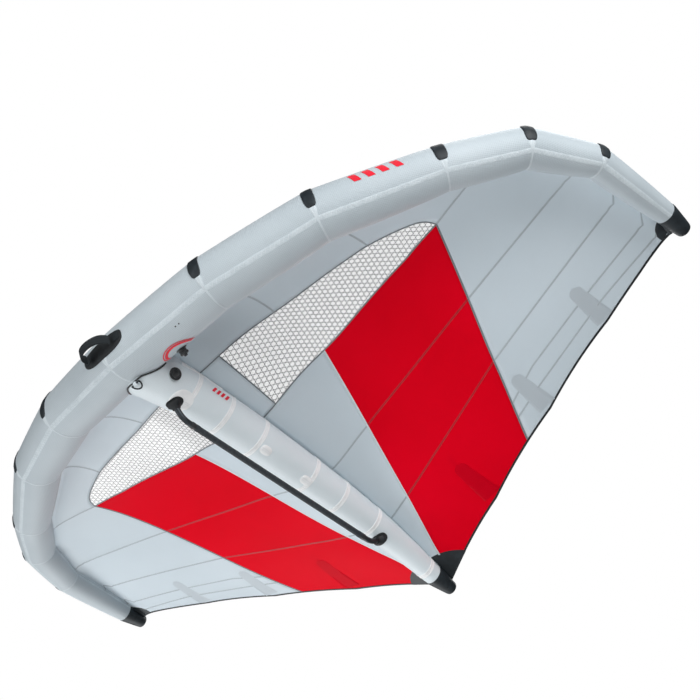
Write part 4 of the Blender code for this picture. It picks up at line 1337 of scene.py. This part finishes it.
def build_front_handle():
    place = at_seam(0, 1, HANDLE_ANGLE)
    base = add_piece("handle_base", pad(place, HANDLE_HALF, HANDLE_SPREAD, 0.0042, 2.8, 0.008), "handle",
                     stands_for=("front_handle_pad",))
    outline = superellipse(HANDLE_HALF - 0.006, HANDLE_SPREAD - 0.006, 2.8, 160)
    line = [place(a, b, 0.0042) for a, b in outline + outline[:1]]
    out = seam_spoke(0, 1, HANDLE_ANGLE).normalized()
    rows = [stitches(line, lambda at: out)]
    for end in (-1.0, 1.0):
        box = ((0.067, -0.011), (0.090, -0.011), (0.090, 0.011), (0.067, 0.011), (0.067, -0.011),
               (0.090, 0.011), (0.090, -0.011), (0.067, 0.011))
        rows.append(stitches([place(a * end, b, 0.0074) for a, b in box], lambda at: out))
        flap = pad(on_handle(place, end), 0.016, 0.0155, 0.0074, 5.0, 0.002, 0.003)
        add_piece(f"handle_tab_{'left' if end < 0 else 'right'}", flap, "webbing")
    add_piece("handle_thread", joined(rows), "webbing")
    pivot = seam_centre(0, 1) + out * (seam_radius(0) + LOOP_LIFT)
    points = []
    for share in shares(48):
        across, rise = cos_sin(180.0 * share)
        points.append(pivot + ACROSS * LOOP_HALF * across + out * LOOP_RISE * max(rise, 0.0) ** 0.8)
    section = superellipse(STRAP_WIDTH / 2, STRAP_THICK / 2, 4.0, 28)
    rings = []
    for index, point in enumerate(points):
        wide = ACROSS.cross(out)
        high = direction_at(points, index).cross(wide)
        hold = 1.0 - 0.16 * math.exp(-(((index - 24) / 11.0) ** 4))
        fat = 1.0 + 1.5 * math.exp(-(((index - 24) / 12.0) ** 4))
        rings.append([point + wide * a * hold + high * b * fat for a, b in section])
    add_piece("handle_strap", loft(rings), "webbing", body="front_handle_loop",
              stands_for=("front_handle_loop",))


def on_handle(place, end):
    return lambda a, b, lift: place(0.079 * end + a, b, lift)


def build_leash():
    across, rise = cos_sin(LEASH_ANGLE)
    out = Vector((across, 0.0, rise))
    bar = out.cross(BACK).normalized()
    points = []
    for share in shares(32):
        along, back = cos_sin(180.0 * share)
        points.append(LEASH_PIVOT + bar * LEASH_HALF * along + BACK * LEASH_RISE * back)
    points += [points[-1].lerp(points[0], step / 9) for step in range(1, 9)]
    rings = []
    for index, point in enumerate(points):
        direction = (points[(index + 1) % len(points)] - points[index - 1]).normalized()
        rings.append(circle(point, direction, LEASH_WIRE, 16, out))
    rings.append(rings[0])
    add_piece("leash_ring", loft(rings, ends=False), "webbing", body="leash_loop",
              stands_for=("leash_loop",))


def rim(profile, radius=0.0008):
    """The same profile with each outer corner rounded over two short steps."""
    rows = [profile[0]]
    for before, here, after in zip(profile, profile[1:], profile[2:]):
        for other in (before, after):
            span = math.hypot(other[0] - here[0], other[1] - here[1])
            share = min(radius / max(span, 1e-6), 0.45)
            rows.append((here[0] + (other[0] - here[0]) * share, here[1] + (other[1] - here[1]) * share))
    rows.append(profile[-1])
    return rows


def build_valve(name, foot, out, body, cap, ribs):
    """A valve's seat and its lid, from their profiles, and the lid's ribs: count, depth and the two ends."""
    add_piece(f"{name}_seat", turned(foot, out, rim(body)), "plastic", stands_for=(f"{name}_body",))
    add_piece(f"{name}_lid", turned(foot, out, rim(cap), 96, *ribs), "plastic", body=f"{name}_cap",
              stands_for=(f"{name}_cap",))


def build_valves():
    out = spoke_round(panel_direction(0, 1), 1, VALVE_ANGLE)
    foot = tube_skin(0, 1, VALVE_ANGLE, VALVE_SHARE) - out * swell(0, VALVE_ANGLE, VALVE_SHARE)
    build_valve("inflation_valve", foot, out,
                ((-0.004, 0.0095), (0.0026, 0.0095), (0.0026, 0.0225), (0.0046, 0.0225), (0.0062, 0.0160),
                 (0.0164, 0.0150), (0.0164, 0.0060)),
                ((0.0174, 0.0040), (0.0174, 0.0165), (0.0255, 0.0160), (0.0270, 0.0145), (0.0272, 0.0075),
                 (0.0340, 0.0066), (0.0346, 0.0020)), (24, 0.0010, (0.0176, 0.0256)))
    build_valve("strut_valve", *strut_point(STRUT_VALVE_Y, STRUT_VALVE_ANGLE),
                ((-0.004, 0.0095), (0.0020, 0.0095), (0.0020, 0.0250), (0.0052, 0.0250), (0.0070, 0.0235),
                 (0.0078, 0.0190), (0.0078, 0.0060)),
                ((0.0082, 0.0040), (0.0082, 0.0176), (0.0122, 0.0176), (0.0138, 0.0160), (0.0138, 0.0100),
                 (0.0112, 0.0090), (0.0112, 0.0030)), (32, 0.0008, (0.0084, 0.0126)))


def arc_strip(surface, radius, half, low, high, lift, steps=48):
    """A printed arc on a surface."""
    grid = []
    places = []
    for share in shares(steps):
        degrees = low + (high - low) * share
        along, around = cos_sin(degrees)
        row = [radius - half, radius, radius + half]
        grid.append([surface(r * along, r * around, lift) for r in row])
        places.append([(radius * math.radians(degrees), r) for r in row])
    return skin(grid, places)


def slanted_bar(surface, at, width, height, lift, lean=0.4):
    """A printed bar that leans over: the plain mark that stands where lettering was."""
    places = []
    for share in shares(6):
        b = height * (share - 0.5)
        places.append([(at + b * lean + width * (across - 0.5), b) for across in shares(4)])
    return skin([[surface(a, b, lift) for a, b in row] for row in places], places)


def row_of_bars(surface, pitch, width, height, lift):
    """Four printed bars, evenly spaced about the middle of a surface."""
    return joined([slanted_bar(surface, pitch * (index - 1.5), width, height, lift) for index in range(4)])


def build_marks():
    around_valve = on_panel(0, 1, VALVE_SHARE, VALVE_ANGLE)
    arcs = [arc_strip(around_valve, radius, half, -188.0, -5.0, 0.0012)
            for radius, half in ((0.060, 0.0055), (0.071, 0.0022))]
    add_piece("valve_arcs", joined(arcs), "print")
    add_piece("nose_bars", row_of_bars(on_panel(2, 1, 0.52, -175.0), 0.05, 0.026, 0.046, 0.0009), "print")
    add_piece("strut_bars", row_of_bars(on_strut(0.390, -2.0), 0.021, 0.012, 0.026, 0.0016), "print")
    holes = [pad(on_panel(0, 1, share, -93.0), 0.0028, 0.0028, 0.0012, 2.0, 0.001)
             for share in (0.63, 0.665)]
    add_piece("tube_eyelets", joined(holes), "plastic")


# ---------------------------------------------------------------- studio

def build_studio():
    low, high = cad_box
    middle = (Vector(low) + Vector(high)) / 2
    mesh = bpy.data.meshes.new("floor")
    mesh.from_pydata([(x * FLOOR_HALF, y * FLOOR_HALF, -FLOOR_DROP)
                      for x, y in ((-1.0, -1.0), (1.0, -1.0), (1.0, 1.0), (-1.0, 1.0))], [], [(0, 1, 2, 3)])
    floor = bpy.data.objects.new("floor", mesh)
    material, tree, shader = new_material("floor_paint", 0.8)
    tone = noise_factor(tree, coordinates(tree, "Object"), 0.6)
    tree.links.new(ramp(tree, tone, (0.80, 0.80, 0.80), (0.84, 0.84, 0.84)), shader.inputs["Base Color"])
    mesh.materials.append(material)
    bpy.context.scene.collection.objects.link(floor)
    world = bpy.data.worlds.new("studio")
    world.use_nodes = True
    tree = world.node_tree
    shown = tree.nodes["Background"]
    shown.inputs["Color"].default_value = (1.0, 1.0, 1.0, 1.0)
    shown.inputs["Strength"].default_value = 1.0
    light = add_node(tree, "ShaderNodeBackground", {"Color": (0.93, 0.97, 1.0, 1.0), "Strength": WORLD_LIGHT})
    seen = add_node(tree, "ShaderNodeLightPath").outputs["Is Camera Ray"]
    both = add_node(tree, "ShaderNodeMixShader", {0: seen, 1: light.outputs[0], 2: shown.outputs[0]})
    tree.links.new(both.outputs[0], tree.nodes["World Output"].inputs[0])
    bpy.context.scene.world = world
    for name, direction, power in LIGHTS:
        lamp = bpy.data.lights.new(name, "AREA")
        lamp.shape = "DISK"
        lamp.size = LIGHT_WIDTH
        lamp.energy = power
        item = bpy.data.objects.new(name, lamp)
        offset = Vector(direction).normalized()
        item.location = middle + offset * LIGHT_DISTANCE
        item.rotation_mode = "QUATERNION"
        item.rotation_quaternion = (-offset).to_track_quat("-Z", "Y")
        bpy.context.scene.collection.objects.link(item)


def build_camera():
    data = bpy.data.cameras.new("camera")
    data.lens = CAMERA_LENS
    data.sensor_width = 36.0
    data.clip_start = 0.05
    data.clip_end = 200.0
    camera = bpy.data.objects.new("camera", data)
    right = CAMERA_RIGHT.normalized()
    up = (CAMERA_UP - CAMERA_UP.dot(right) * right).normalized()
    back = right.cross(up)
    turn = Matrix((right, up, back)).transposed()
    camera.matrix_world = Matrix.Translation(CAMERA_PLACE) @ turn.to_4x4()
    bpy.context.scene.collection.objects.link(camera)
    bpy.context.scene.camera = camera
    bpy.context.scene.view_settings.view_transform = "Standard"


def finish_frame_nodes():
    """The CAD nodes that stay: inner bladders, battens and the leash tab."""
    for prefix, finish in (("le_bladder", "film"), ("strut_bladder", "film"), ("batten_", "rod"),
                           ("leash_tab", "tab")):
        for name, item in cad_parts.items():
            if name.startswith(prefix):
                item.data.materials.clear()
                item.data.materials.append(MATERIALS[finish][0])


build_camera()
build_studio()
build_leading_edge()
build_tapes()
build_wear_pads()
build_tip_cups()
build_strut()
build_strut_cup()
build_canopy()
build_seams()
build_canopy_trim()
build_spine()
build_boom()
build_front_handle()
build_leash()
build_valves()
build_marks()
finish_frame_nodes()
